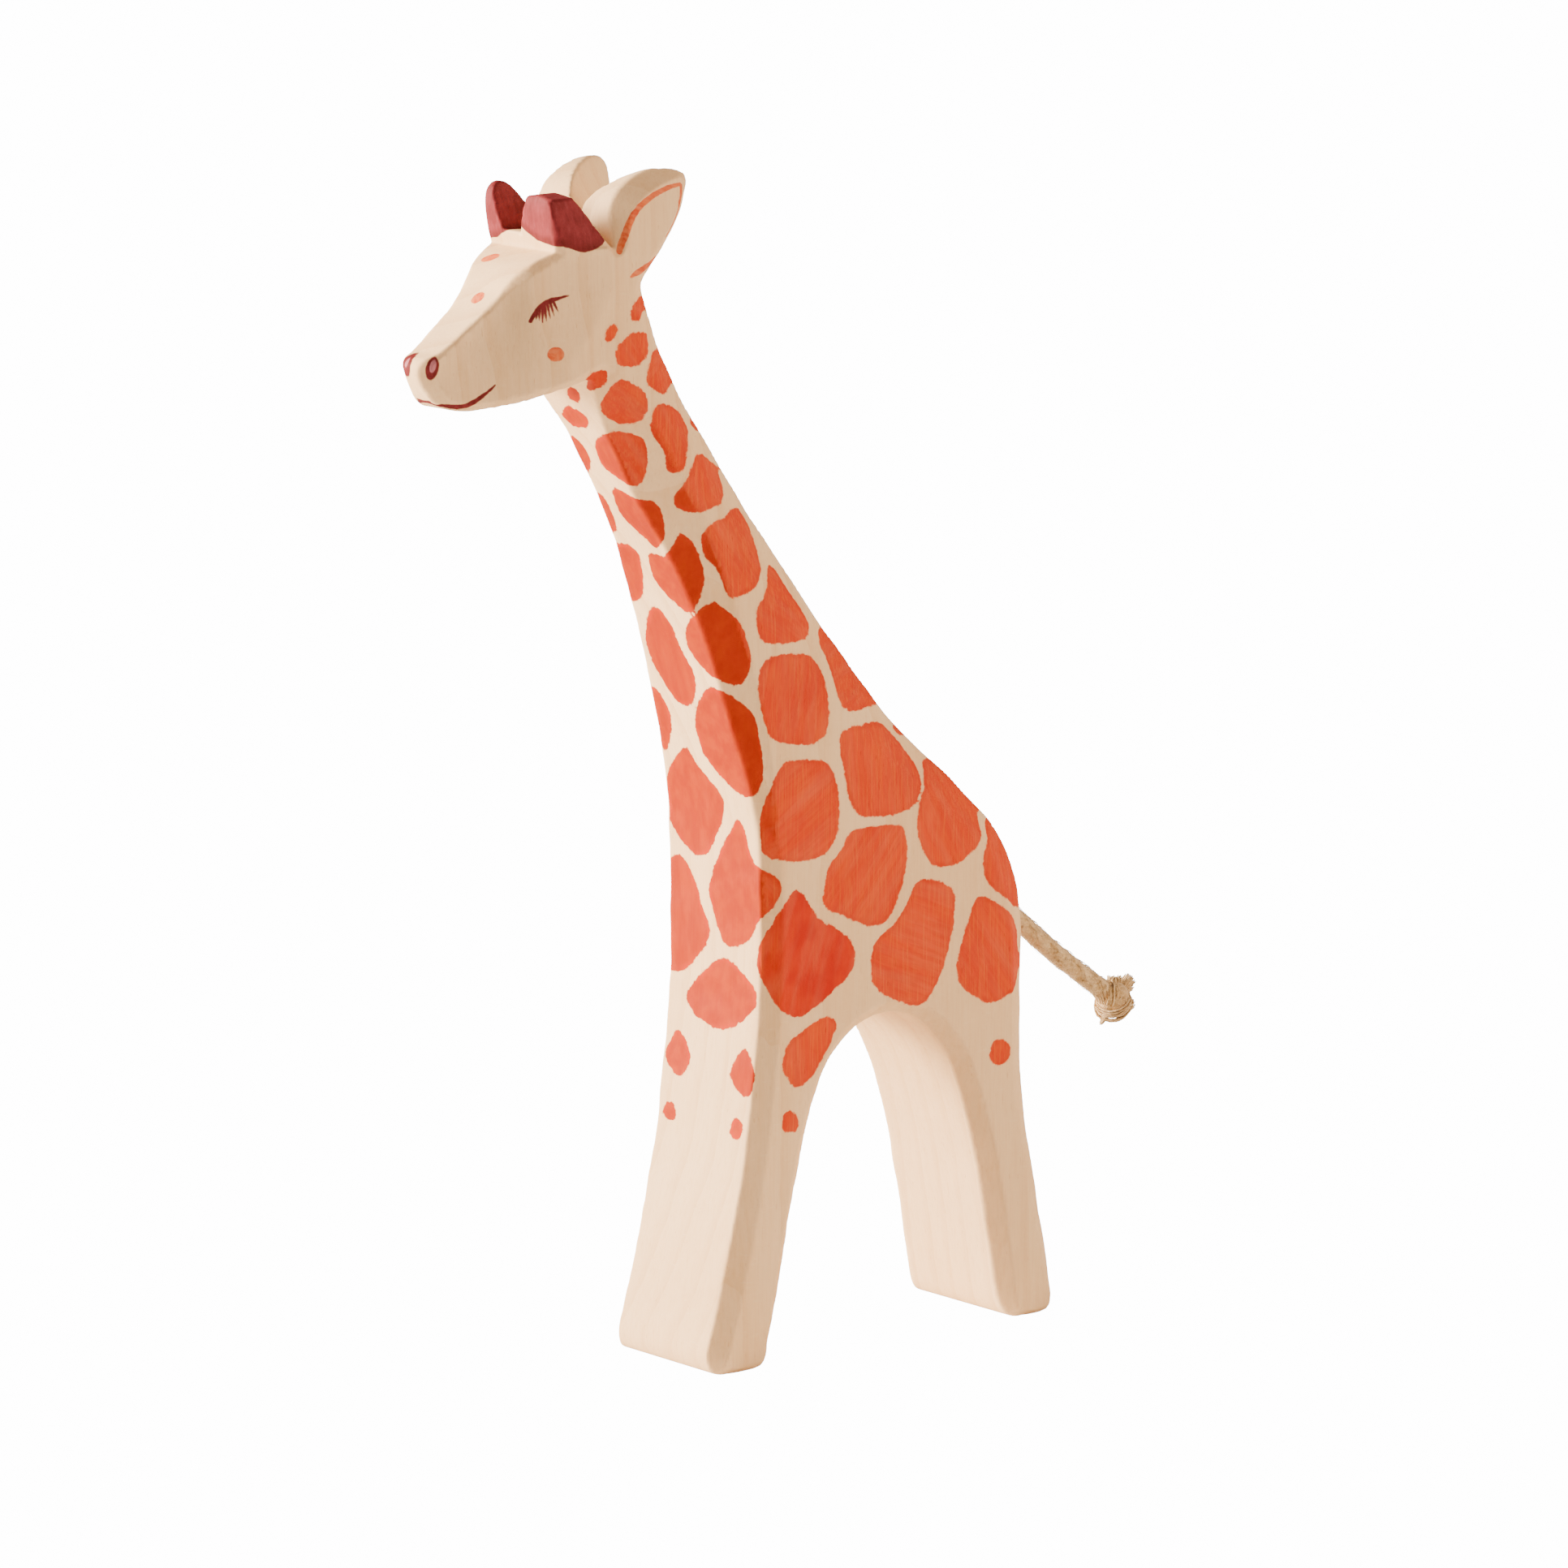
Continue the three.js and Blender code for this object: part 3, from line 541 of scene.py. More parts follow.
# ------------------------------------------------------------------ painted patches
# (redness, [(distance round the skin from the middle of the front, height), ...]) in mm; a redness of -0.20 marks the
# patches of the front face, which get painted shade: a darker glaze, as the key light falls there
PATCHES = [
 (0.15, [(30.4, 192.6), (33.9, 192.5), (33.7, 190.4), (28.7, 189.8), (26.0, 188.5), (24.8, 188.9), (25.2, 190.0), (27.5, 192.2)]),
 (0.15, [(20.6, 188.5), (21.2, 187.9), (20.1, 186.5), (18.2, 185.3), (17.3, 185.3), (17.3, 186.1), (18.1, 187.2)]),
 (0.15, [(26.1, 186.6), (27.2, 186.3), (27.0, 185.4), (25.9, 183.6), (23.1, 181.4), (20.5, 180.7), (17.3, 181.4), (17.4, 182.4), (18.0, 183.4), (20.5, 185.2), (23.5, 186.6)]),
 (0.15, [(29.7, 183.2), (33.3, 183.0), (33.6, 181.8), (33.0, 177.2), (28.0, 176.4), (25.2, 175.3), (23.4, 175.6), (21.8, 177.5), (23.0, 179.6), (26.4, 182.6)]),
 (-0.20, [(13.5, 180.8), (14.2, 180.6), (14.3, 180.0), (12.6, 178.0), (10.4, 177.1), (6.8, 176.6), (7.3, 177.6), (10.2, 179.9)]),
 (0.40, [(16.9, 178.9), (20.2, 175.7), (19.6, 173.9), (18.1, 172.3), (16.4, 171.2), (12.4, 170.1), (10.3, 170.4), (7.9, 172.2), (8.2, 173.6), (9.9, 175.2)]),
 (-0.20, [(1.5, 176.4), (2.5, 176.5), (4.0, 175.8), (3.3, 174.6), (1.9, 173.8), (-0.4, 174.4), (-0.2, 175.1)]),
 (0.15, [(22.2, 173.8), (26.5, 172.2), (27.2, 170.9), (27.0, 168.9), (23.2, 165.3), (21.4, 162.5), (19.4, 161.3), (17.6, 161.3), (16.6, 162.0), (17.9, 165.2), (16.9, 168.6), (20.4, 172.8)]),
 (-0.20, [(-2.1, 172.6), (-1.0, 172.7), (2.4, 171.4), (2.4, 170.0), (0.3, 168.8), (-3.2, 169.0), (-4.9, 170.6)]),
 (0.15, [(34.0, 170.3), (34.1, 167.8), (29.3, 168.1), (29.1, 170.0)]),
 (0.30, [(7.1, 168.8), (13.0, 168.5), (14.1, 167.9), (14.5, 166.8), (13.1, 163.5), (11.2, 161.2), (8.9, 159.4), (6.6, 158.7), (0.7, 161.3), (0.2, 162.6), (1.4, 166.5)]),
 (-0.20, [(-8.6, 166.6), (-4.6, 166.6), (-3.2, 165.6), (-2.4, 163.9), (-2.4, 162.8), (-4.2, 160.3), (-9.1, 160.0), (-9.9, 166.5)]),
 (0.15, [(25.9, 164.3), (27.9, 163.8), (30.4, 161.5), (33.9, 160.9), (30.5, 160.5), (29.0, 157.4), (26.1, 155.3), (19.5, 154.0), (16.0, 154.2), (14.6, 154.9), (14.4, 155.8), (15.3, 157.1), (20.2, 160.0), (23.9, 163.7)]),
 (0.15, [(0.7, 158.1), (1.9, 158.0), (6.1, 156.4), (9.3, 156.2), (10.5, 155.2), (10.4, 153.1), (9.3, 150.6), (8.0, 149.0), (5.9, 147.6), (4.4, 147.3), (3.2, 148.1), (-1.0, 152.3), (-1.2, 153.6), (-0.5, 156.9)]),
 (-0.20, [(-7.9, 156.3), (-4.0, 155.9), (-3.6, 154.1), (-4.1, 150.8), (-5.8, 148.7), (-10.7, 148.8), (-9.2, 156.2)]),
 (0.15, [(29.3, 153.8), (31.0, 153.5), (31.6, 150.9), (30.7, 148.0), (26.7, 141.1), (24.7, 139.5), (19.2, 138.6), (18.4, 139.9), (18.3, 143.3), (16.3, 146.0), (17.0, 148.8), (20.1, 151.5)]),
 (0.15, [(12.6, 150.2), (13.9, 150.0), (14.7, 148.9), (15.0, 144.2), (14.5, 142.2), (13.6, 140.5), (9.8, 136.8), (8.1, 135.7), (6.7, 135.6), (0.6, 140.6), (1.0, 144.8), (2.3, 145.9), (5.7, 145.9)]),
 (-0.20, [(-4.8, 146.8), (-2.7, 146.5), (-1.9, 145.5), (-1.8, 144.6), (-2.7, 141.1), (-5.3, 137.0), (-6.5, 136.1), (-8.1, 135.6), (-13.7, 135.7), (-13.5, 138.0), (-12.1, 142.5), (-12.1, 145.6), (-11.7, 146.1)]),
 (0.15, [(31.5, 143.2), (32.8, 142.8), (33.8, 141.2), (33.8, 140.2), (36.6, 133.7), (36.9, 132.3), (36.4, 131.1), (35.3, 130.2), (33.3, 129.6), (23.4, 130.0), (22.7, 131.4), (24.0, 136.3), (26.2, 138.0), (29.4, 142.0)]),
 (0.15, [(14.8, 137.9), (16.2, 137.2), (19.5, 134.2), (20.0, 130.8), (19.8, 127.5), (19.0, 126.0), (16.4, 123.4), (13.8, 122.8), (9.6, 123.8), (7.3, 124.9), (4.0, 128.5), (5.4, 132.8)]),
 (-0.20, [(-3.2, 135.4), (-1.7, 135.3), (0.9, 132.6), (1.7, 127.9), (3.5, 124.3), (3.5, 122.7), (2.7, 120.5), (0.7, 118.0), (-0.8, 117.2), (-2.3, 117.3), (-5.2, 119.9), (-7.6, 123.7), (-8.4, 126.0), (-6.9, 131.6)]),
 (0.15, [(43.7, 131.0), (45.1, 130.6), (46.3, 126.9), (51.5, 116.5), (45.7, 115.8), (39.9, 115.7), (37.9, 116.1), (36.7, 117.4), (36.6, 118.9), (37.7, 125.3), (37.6, 127.8), (38.0, 128.7), (39.9, 130.8)]),
 (0.50, [(30.2, 127.2), (31.9, 127.0), (33.5, 125.9), (34.5, 123.0), (33.8, 116.0), (32.6, 112.9), (30.1, 111.3), (27.2, 110.8), (24.0, 111.4), (19.9, 113.0), (19.4, 113.9), (19.2, 121.4), (21.4, 126.1), (24.0, 127.5)]),
 (-0.20, [(-13.3, 119.5), (-8.5, 119.4), (-6.8, 116.7), (-6.5, 115.2), (-7.1, 112.7), (-10.8, 107.5), (-14.1, 114.3), (-15.0, 117.3), (-14.6, 119.3)]),
 (-0.20, [(6.6, 121.9), (8.8, 122.0), (14.3, 119.9), (15.9, 118.7), (17.1, 116.8), (16.8, 110.1), (16.0, 106.2), (14.6, 103.8), (12.2, 102.4), (9.4, 102.5), (7.1, 103.4), (2.9, 106.3), (0.5, 109.1), (0.5, 114.9)]),
 (0.30, [(43.0, 113.3), (47.4, 112.6), (48.7, 111.1), (51.7, 105.8), (52.1, 103.7), (51.5, 101.5), (49.7, 97.9), (46.7, 96.4), (38.9, 96.3), (36.4, 96.9), (35.0, 98.5), (34.2, 102.7), (35.0, 112.1), (36.3, 112.8)]),
 (0.15, [(54.7, 112.3), (56.5, 109.5), (51.5, 109.8), (50.1, 111.6)]),
 (-0.20, [(-4.6, 109.3), (-3.8, 109.2), (-1.8, 106.3), (3.4, 101.9), (4.2, 100.4), (3.0, 96.7), (0.5, 93.0), (-1.9, 90.2), (-4.4, 89.2), (-7.1, 90.0), (-10.6, 92.7), (-12.4, 94.5), (-12.5, 96.5), (-12.0, 102.2)]),
 (0.35, [(56.9, 104.9), (60.7, 104.7), (70.0, 94.5), (65.6, 93.8), (64.7, 90.1), (62.1, 87.4), (57.1, 85.2), (53.7, 85.5), (51.8, 86.5), (49.0, 93.9), (54.0, 103.8), (55.1, 104.8)]),
 (0.45, [(29.2, 108.0), (30.9, 107.4), (32.3, 103.9), (31.3, 95.2), (29.2, 91.7), (26.2, 90.4), (24.0, 90.3), (14.0, 92.2), (13.3, 94.2), (14.2, 99.7), (20.3, 107.6), (22.0, 108.6)]),
 (0.40, [(71.9, 92.5), (74.9, 88.2), (76.9, 84.2), (77.6, 79.6), (78.9, 75.6), (73.9, 75.6), (70.0, 77.4), (66.1, 80.2), (64.3, 83.3), (64.4, 87.2), (66.1, 88.8), (67.3, 92.0)]),
 (0.15, [(7.4, 97.8), (8.6, 97.0), (10.5, 91.6), (12.2, 90.1), (17.3, 87.8), (18.0, 85.8), (16.5, 83.3), (12.4, 80.2), (9.9, 76.5), (6.3, 74.7), (3.5, 74.4), (1.5, 76.0), (-1.2, 81.7), (-1.6, 84.7)]),
 (0.35, [(44.1, 94.4), (45.7, 93.9), (46.5, 92.7), (46.2, 85.4), (43.6, 79.6), (41.3, 77.0), (38.8, 76.7), (35.2, 77.8), (27.4, 82.0), (27.4, 84.8), (28.7, 88.7), (31.9, 91.5), (33.8, 94.2)]),
 (-0.20, [(-10.5, 88.7), (-8.7, 88.5), (-5.1, 84.0), (-3.7, 80.5), (-1.5, 77.6), (-1.3, 75.3), (-3.2, 72.6), (-9.6, 67.8), (-11.7, 67.4), (-17.8, 68.5), (-17.1, 78.5), (-17.8, 81.2), (-13.8, 86.5), (-12.2, 88.0)]),
 (0.35, [(49.9, 83.7), (55.9, 81.9), (57.8, 79.3), (54.4, 64.3), (52.7, 62.0), (51.2, 61.0), (42.7, 63.6), (39.6, 66.1), (38.7, 68.3), (39.0, 73.8), (42.7, 76.1), (45.9, 79.3), (47.9, 82.6)]),
 (1.00, [(21.5, 85.4), (26.6, 79.6), (32.9, 75.6), (34.8, 71.8), (34.2, 69.4), (30.6, 66.3), (23.1, 62.5), (19.4, 63.8), (14.4, 68.4), (11.7, 73.6), (17.8, 82.4)]),
 (0.15, [(63.2, 79.0), (73.3, 72.4), (75.6, 67.6), (80.2, 65.9), (80.2, 64.7), (75.7, 64.0), (75.4, 62.4), (68.3, 59.1), (66.0, 59.5), (60.4, 62.8), (58.5, 66.8), (61.1, 75.8)]),
 (-0.20, [(2.8, 72.2), (9.1, 69.7), (11.9, 68.0), (12.4, 65.4), (11.4, 63.7), (5.7, 60.0), (1.6, 59.3), (-3.6, 60.1), (-5.8, 61.0), (-7.8, 62.8), (-8.1, 63.4), (-7.7, 64.6), (-5.3, 67.4)]),
 (0.15, [(29.1, 61.9), (31.4, 60.8), (31.6, 59.8), (31.0, 58.1), (27.5, 52.2), (25.2, 50.4), (23.3, 49.9), (21.7, 51.2), (19.8, 53.9), (20.5, 57.7), (21.4, 58.8)]),
 (-0.20, [(-10.0, 57.3), (-8.8, 57.2), (-5.7, 54.1), (-5.4, 52.0), (-5.9, 50.7), (-7.1, 49.4), (-9.5, 49.8), (-12.1, 51.8), (-12.4, 52.8), (-12.0, 54.4)]),
 (0.15, [(69.2, 52.3), (71.2, 52.0), (72.3, 51.1), (72.7, 48.6), (72.2, 47.7), (69.7, 47.7), (68.2, 48.6), (67.8, 49.7), (68.0, 50.9), (68.4, 51.9)]),
 (-0.20, [(9.6, 57.0), (11.0, 56.8), (13.3, 53.5), (13.2, 50.8), (12.6, 49.3), (11.6, 48.7), (8.3, 49.8), (6.3, 51.8), (6.9, 53.6)]),
 (-0.20, [(-10.3, 44.4), (-8.9, 44.6), (-8.1, 44.0), (-7.5, 42.7), (-8.3, 41.4), (-10.1, 41.2), (-11.6, 42.0), (-11.2, 43.7)]),
 (0.15, [(21.9, 46.1), (23.1, 45.9), (24.3, 44.7), (24.9, 43.2), (24.5, 42.2), (22.9, 42.1), (21.2, 42.8), (21.0, 45.4)]),
 (-0.20, [(9.1, 44.7), (10.6, 44.6), (11.7, 43.6), (11.8, 42.6), (11.1, 41.3), (9.6, 41.1), (8.3, 41.8), (8.5, 44.0)]),
]
# small marks of the right flank and the back, the side that is not seen from the left front
RIGHT_DOTS = [(-5.6, 176.4, 1.0, 1.3)]
BACK = [
 # (A measured to the back's middle, height, half width, half height)
 (0.5, 181.5, 3.6, 2.6), (-1.5, 171.5, 4.6, 3.6), (1.6, 160.5, 5.0, 4.2), (-2.0, 148.5, 5.6, 4.6), (1.2, 136.0, 6.2, 4.8),
 (-1.6, 123.5, 6.4, 4.6), (1.8, 111.5, 6.4, 4.2), (-1.0, 99.0, 6.2, 4.0), (2.2, 66.5, 6.0, 5.2), (-2.6, 53.0, 3.4, 3.6), (3.6, 44.5, 1.8, 2.2), (-3.0, 39.5, 1.2, 1.5),
]


def loop(pts, per=4):
    """closed centripetal spline through the points"""
    P = np.array(pts, float); n = len(P); out = []
    for i in range(n):
        p0, p1, p2, p3 = P[i-1], P[i], P[(i+1) % n], P[(i+2) % n]
        d01, d12, d23 = [max(np.linalg.norm(b-a), 1e-3)**.5 for a, b in ((p0, p1), (p1, p2), (p2, p3))]
        t0, t1, t2, t3 = 0, d01, d01+d12, d01+d12+d23
        for k in range(per):
            t = t1+(t2-t1)*k/per
            A1 = (t1-t)/(t1-t0)*p0+(t-t0)/(t1-t0)*p1; A2 = (t2-t)/(t2-t1)*p1+(t-t1)/(t2-t1)*p2; A3 = (t3-t)/(t3-t2)*p2+(t-t2)/(t3-t2)*p3
            B1 = (t2-t)/(t2-t0)*A1+(t-t0)/(t2-t0)*A2; B2 = (t3-t)/(t3-t1)*A2+(t-t1)/(t3-t1)*A3
            out.append((t2-t)/(t2-t1)*B1+(t-t1)/(t2-t1)*B2)
    return np.array(out)


def loop_sd(poly, q):
    a = poly; b = np.roll(a, -1, 0); e = b-a; L = np.maximum((e*e).sum(1), 1e-9)
    w = q[:, None]-a[None]
    t = np.clip((w*e).sum(2)/L, 0, 1)
    d = w-t[..., None]*e
    dist = np.sqrt((d*d).sum(2).min(1))
    c = (a[None, :, 1] > q[:, None, 1]) != (b[None, :, 1] > q[:, None, 1])
    ey = np.where(np.abs(e[:, 1]) < 1e-9, 1e-9, e[:, 1])
    xx = a[None, :, 0]+(q[:, None, 1]-a[None, :, 1])/ey[None]*e[None, :, 0]
    ins = (c & (q[:, None, 0] < xx)).sum(1) % 2 == 1
    return np.where(ins, -dist, dist)


def patch_field(P):
    """signed distance to the nearest patch and that patch's tone, which carries painted shade on the front face, at
    points P
    """
    A = chart(P[:, 0], P[:, 1], P[:, 2]); q = np.stack([A, P[:, 2]], 1)
    sd = np.full(len(P), 6.0); tone_and_painted_shade = np.zeros(len(P)); angle = np.zeros(len(P))

    def lay(poly, t, halo=False, seed=0, body=None):
        nonlocal sd, tone_and_painted_shade, angle
        lo, hi = poly.min(0)-4, poly.max(0)+4
        m = (q[:, 0] > lo[0]) & (q[:, 0] < hi[0]) & (q[:, 1] > lo[1]) & (q[:, 1] < hi[1])
        if body is not None:
            m &= body
        i = np.where(m)[0]
        if not len(i):
            return
        v = np.empty(len(i))
        for k in range(0, len(i), 20000):
            v[k:k+20000] = loop_sd(poly, q[i[k:k+20000]])
        if halo:
            v = smax(v, 1.7-base[i], .8)
        near = v < sd[i]
        j = i[near]
        sd[j] = v[near]; tone_and_painted_shade[j] = t; angle[j] = seed
    whole = [(t, loop(p)) for t, p in PATCHES]
    for n, (t, p) in enumerate(whole):
        lay(p, t, seed=(n*0.618) % 1)
    base = sd.copy()
    # right flank: the same pattern mirrored and drawn anew by hand, kept clear of what already runs round from the front
    jit = np.random.RandomState(5)
    for n, (t, p) in enumerate(whole):
        c = p.mean(0)
        if c[0] < 17 and not (c[0] > 13 and c[1] > 60):
            continue
        if p[:, 0].min() < 8 and c[1] > 100 and c[0] < 16:
            continue
        k = 1+jit.uniform(-.05, .05, 2)
        r = (p-c)*k
        a = jit.uniform(-.12, .12)
        r = np.stack([r[:, 0]*math.cos(a)-r[:, 1]*math.sin(a), r[:, 0]*math.sin(a)+r[:, 1]*math.cos(a)], 1)
        m = r+c+np.array([jit.uniform(-.7, .7), jit.uniform(-1.3, 1.3)])
        lay(m*[-1, 1], t, halo=True, seed=(n*0.37+.2) % 1, body=P[:, 0] < 2)
    base = sd.copy()
    # the back: a column of its own patches between the two flanks
    B = np.interp(P[:, 2], BACK_Z, BACK_Y)+YS; h = np.interp(P[:, 2], ZH, HH)
    onback = P[:, 1] > B-6.0
    for n, (bx, bz, rx, rz) in enumerate(BACK):
        i = np.where(onback & (np.abs(P[:, 2]-bz) < rz*1.5+4))[0]
        u = (P[i, 0]-bx)/rx; w = (P[i, 2]-bz)/rz
        ang = np.arctan2(w, u)
        rr = 1+0.08*np.cos(3*ang+n*1.3)+0.07*np.cos(4*ang+n*2.1)+0.05*np.sin(5*ang+n)
        v = (np.sqrt(u*u+w*w)-rr)*min(rx, rz)
        v = smax(v, 1.7-base[i], .8)
        if 68 < bz < 90:
            continue
        near = v < sd[i]; j = i[near]
        sd[j] = v[near]; tone_and_painted_shade[j] = .2; angle[j] = (n*.41) % 1
    # tone -.2 gives this dot the darker glaze of the front face, painted shade where the key light falls
    for n, (a, z, rx, rz) in enumerate(RIGHT_DOTS):
        u = (q[:, 0]-a)/rx; w = (q[:, 1]-z)/rz
        v = (np.sqrt(u*u+w*w)-1)*min(rx, rz)
        near = (v < sd) & (P[:, 1] < -20) & (P[:, 1] > -39); sd[near] = v[near]; tone_and_painted_shade[near] = -.2; angle[near] = .3
    # wood left bare: crown, horns, ears, inside of the ears, arch and soles
    e = look(MAP_D, P[:, 1], P[:, 2])
    bare = np.where((P[:, 2] > 190.5) & (P[:, 1] < -29), 6.0, -6.0)
    bare = np.maximum(bare, np.where((P[:, 2] > 178.6) & (P[:, 1]-YS < np.interp(P[:, 2], CHEEK_Z, CHEEK_Y)+.3), 6.0, -6.0))
    bare = np.maximum(bare, np.where((P[:, 2] > 171) & (P[:, 1]-YS < -39.8), 6.0, -6.0))
    sd = np.maximum(sd, bare)
    arch = (P[:, 2] < 62) & (P[:, 1]-YS > -1+0.1*P[:, 2]) & (P[:, 1]-YS < 53-.15*P[:, 2]) & (np.abs(P[:, 0]) < 12.6)
    sd = np.where(arch, 6.0, sd)
    sd = np.where(P[:, 2] < 36, 6.0, sd)
    return sd, tone_and_painted_shade, angle


# strokes drawn with a fine brush, (x, y, z, half width); y without the outline's shift
EYE = [(8.9, -49.0, 190.0, .30), (9.0, -48.4, 190.9, .36), (9.3, -47.8, 191.8, .38), (9.7, -47.1, 192.5, .40), (10.1, -46.1, 193.1, .38),
       (10.4, -45.1, 193.45, .36), (10.6, -43.9, 193.6, .26), (10.7, -43.0, 193.8, .20), (10.9, -42.0, 193.95, .12)]
LASHES = [((9.4, -47.7, 191.9), (9.3, -48.0, 190.4)), ((9.6, -47.3, 192.2), (9.5, -47.5, 190.3)), ((9.8, -46.8, 192.5), (9.8, -46.95, 190.0)),
          ((10.0, -46.4, 192.8), (10.1, -46.3, 190.3)), ((10.2, -45.9, 192.9), (10.3, -45.6, 190.6)), ((10.4, -45.4, 193.2), (10.5, -44.9, 191.0)),
          ((10.5, -44.9, 193.3), (10.6, -44.1, 191.6))]
MOUTH = [(-1.6, -64.9, 176.9, .34), (1.2, -64.7, 176.6, .38), (3.5, -63.8, 176.25, .34), (4.3, -62.6, 176.05, .44), (4.9, -61.4, 175.95, .52), (5.6, -60.2, 176.1, .50),
         (6.2, -58.9, 176.8, .42), (6.5, -57.8, 177.5, .34), (6.8, -56.8, 178.2, .26), (7.1, -55.9, 178.9, .18), (7.2, -55.3, 179.4, .10)]
EARLINE = [(11.6, -31.9, 200.7, .50), (11.4, -31.2, 202.1, .62), (11.6, -30.6, 203.5, .66), (11.9, -30.0, 205.2, .66), (12.0, -29.2, 206.7, .62), (12.0, -27.9, 208.1, .56),
           (12.0, -26.5, 209.0, .56), (12.1, -24.8, 209.9, .52), (12.1, -23.0, 210.6, .48), (12.2, -21.1, 211.15, .42), (12.2, -19.2, 211.4, .32)]
EAR_REAR = [(12.0, -18.9, 211.2, .26), (11.8, -18.9, 209.4, .26), (11.7, -19.6, 206.9, .24), (11.6, -20.7, 204.6, .20), (11.6, -22.0, 202.6, .12)]
EAR_LOW = [(12.1, -29.8, 196.3, .20), (12.1, -28.6, 196.8, .52), (12.1, -27.5, 197.2, .60), (12.0, -26.3, 197.7, .60), (11.7, -25.0, 198.4, .52), (11.2, -24.0, 199.3, .30)]


def stroke(P, line, mirror=False):
    """distance (mm, negative inside) to a brush stroke"""
    L = np.array([(p+(0,))[:4] for p in line], float)
    L[:, 1] += YS
    if mirror:
        L[:, 0] *= -1
    # lay the stroke on the wood: resample it and walk each point to the surface
    k = np.linspace(0, len(L)-1, (len(L)-1)*4+1)
    L = np.column_stack([np.interp(k, np.arange(len(L)), L[:, c]) for c in range(4)])
    for _ in range(5):
        g = grad(L[:, :3]); f = field(L[:, :3])
        L[:, :3] -= np.clip(f/np.maximum((g*g).sum(1), .2), -.6, .6)[:, None]*g
    sd = np.full(len(P), 6.0)
    lo, hi = L[:, :3].min(0)-2.6, L[:, :3].max(0)+2.6
    i = np.where(((P > lo) & (P < hi)).all(1))[0]
    if not len(i):
        return sd
    q = P[i]; best = np.full(len(i), 6.0)
    for a, b in zip(L[:-1], L[1:]):
        e = b[:3]-a[:3]
        t = np.clip(((q-a[:3]) @ e)/max(e @ e, 1e-9), 0, 1)
        v = np.linalg.norm(q-a[:3]-t[:, None]*e, axis=1)-(a[3]*(1-t)+b[3]*t)
        best = np.minimum(best, v)
    sd[i] = best
    return sd


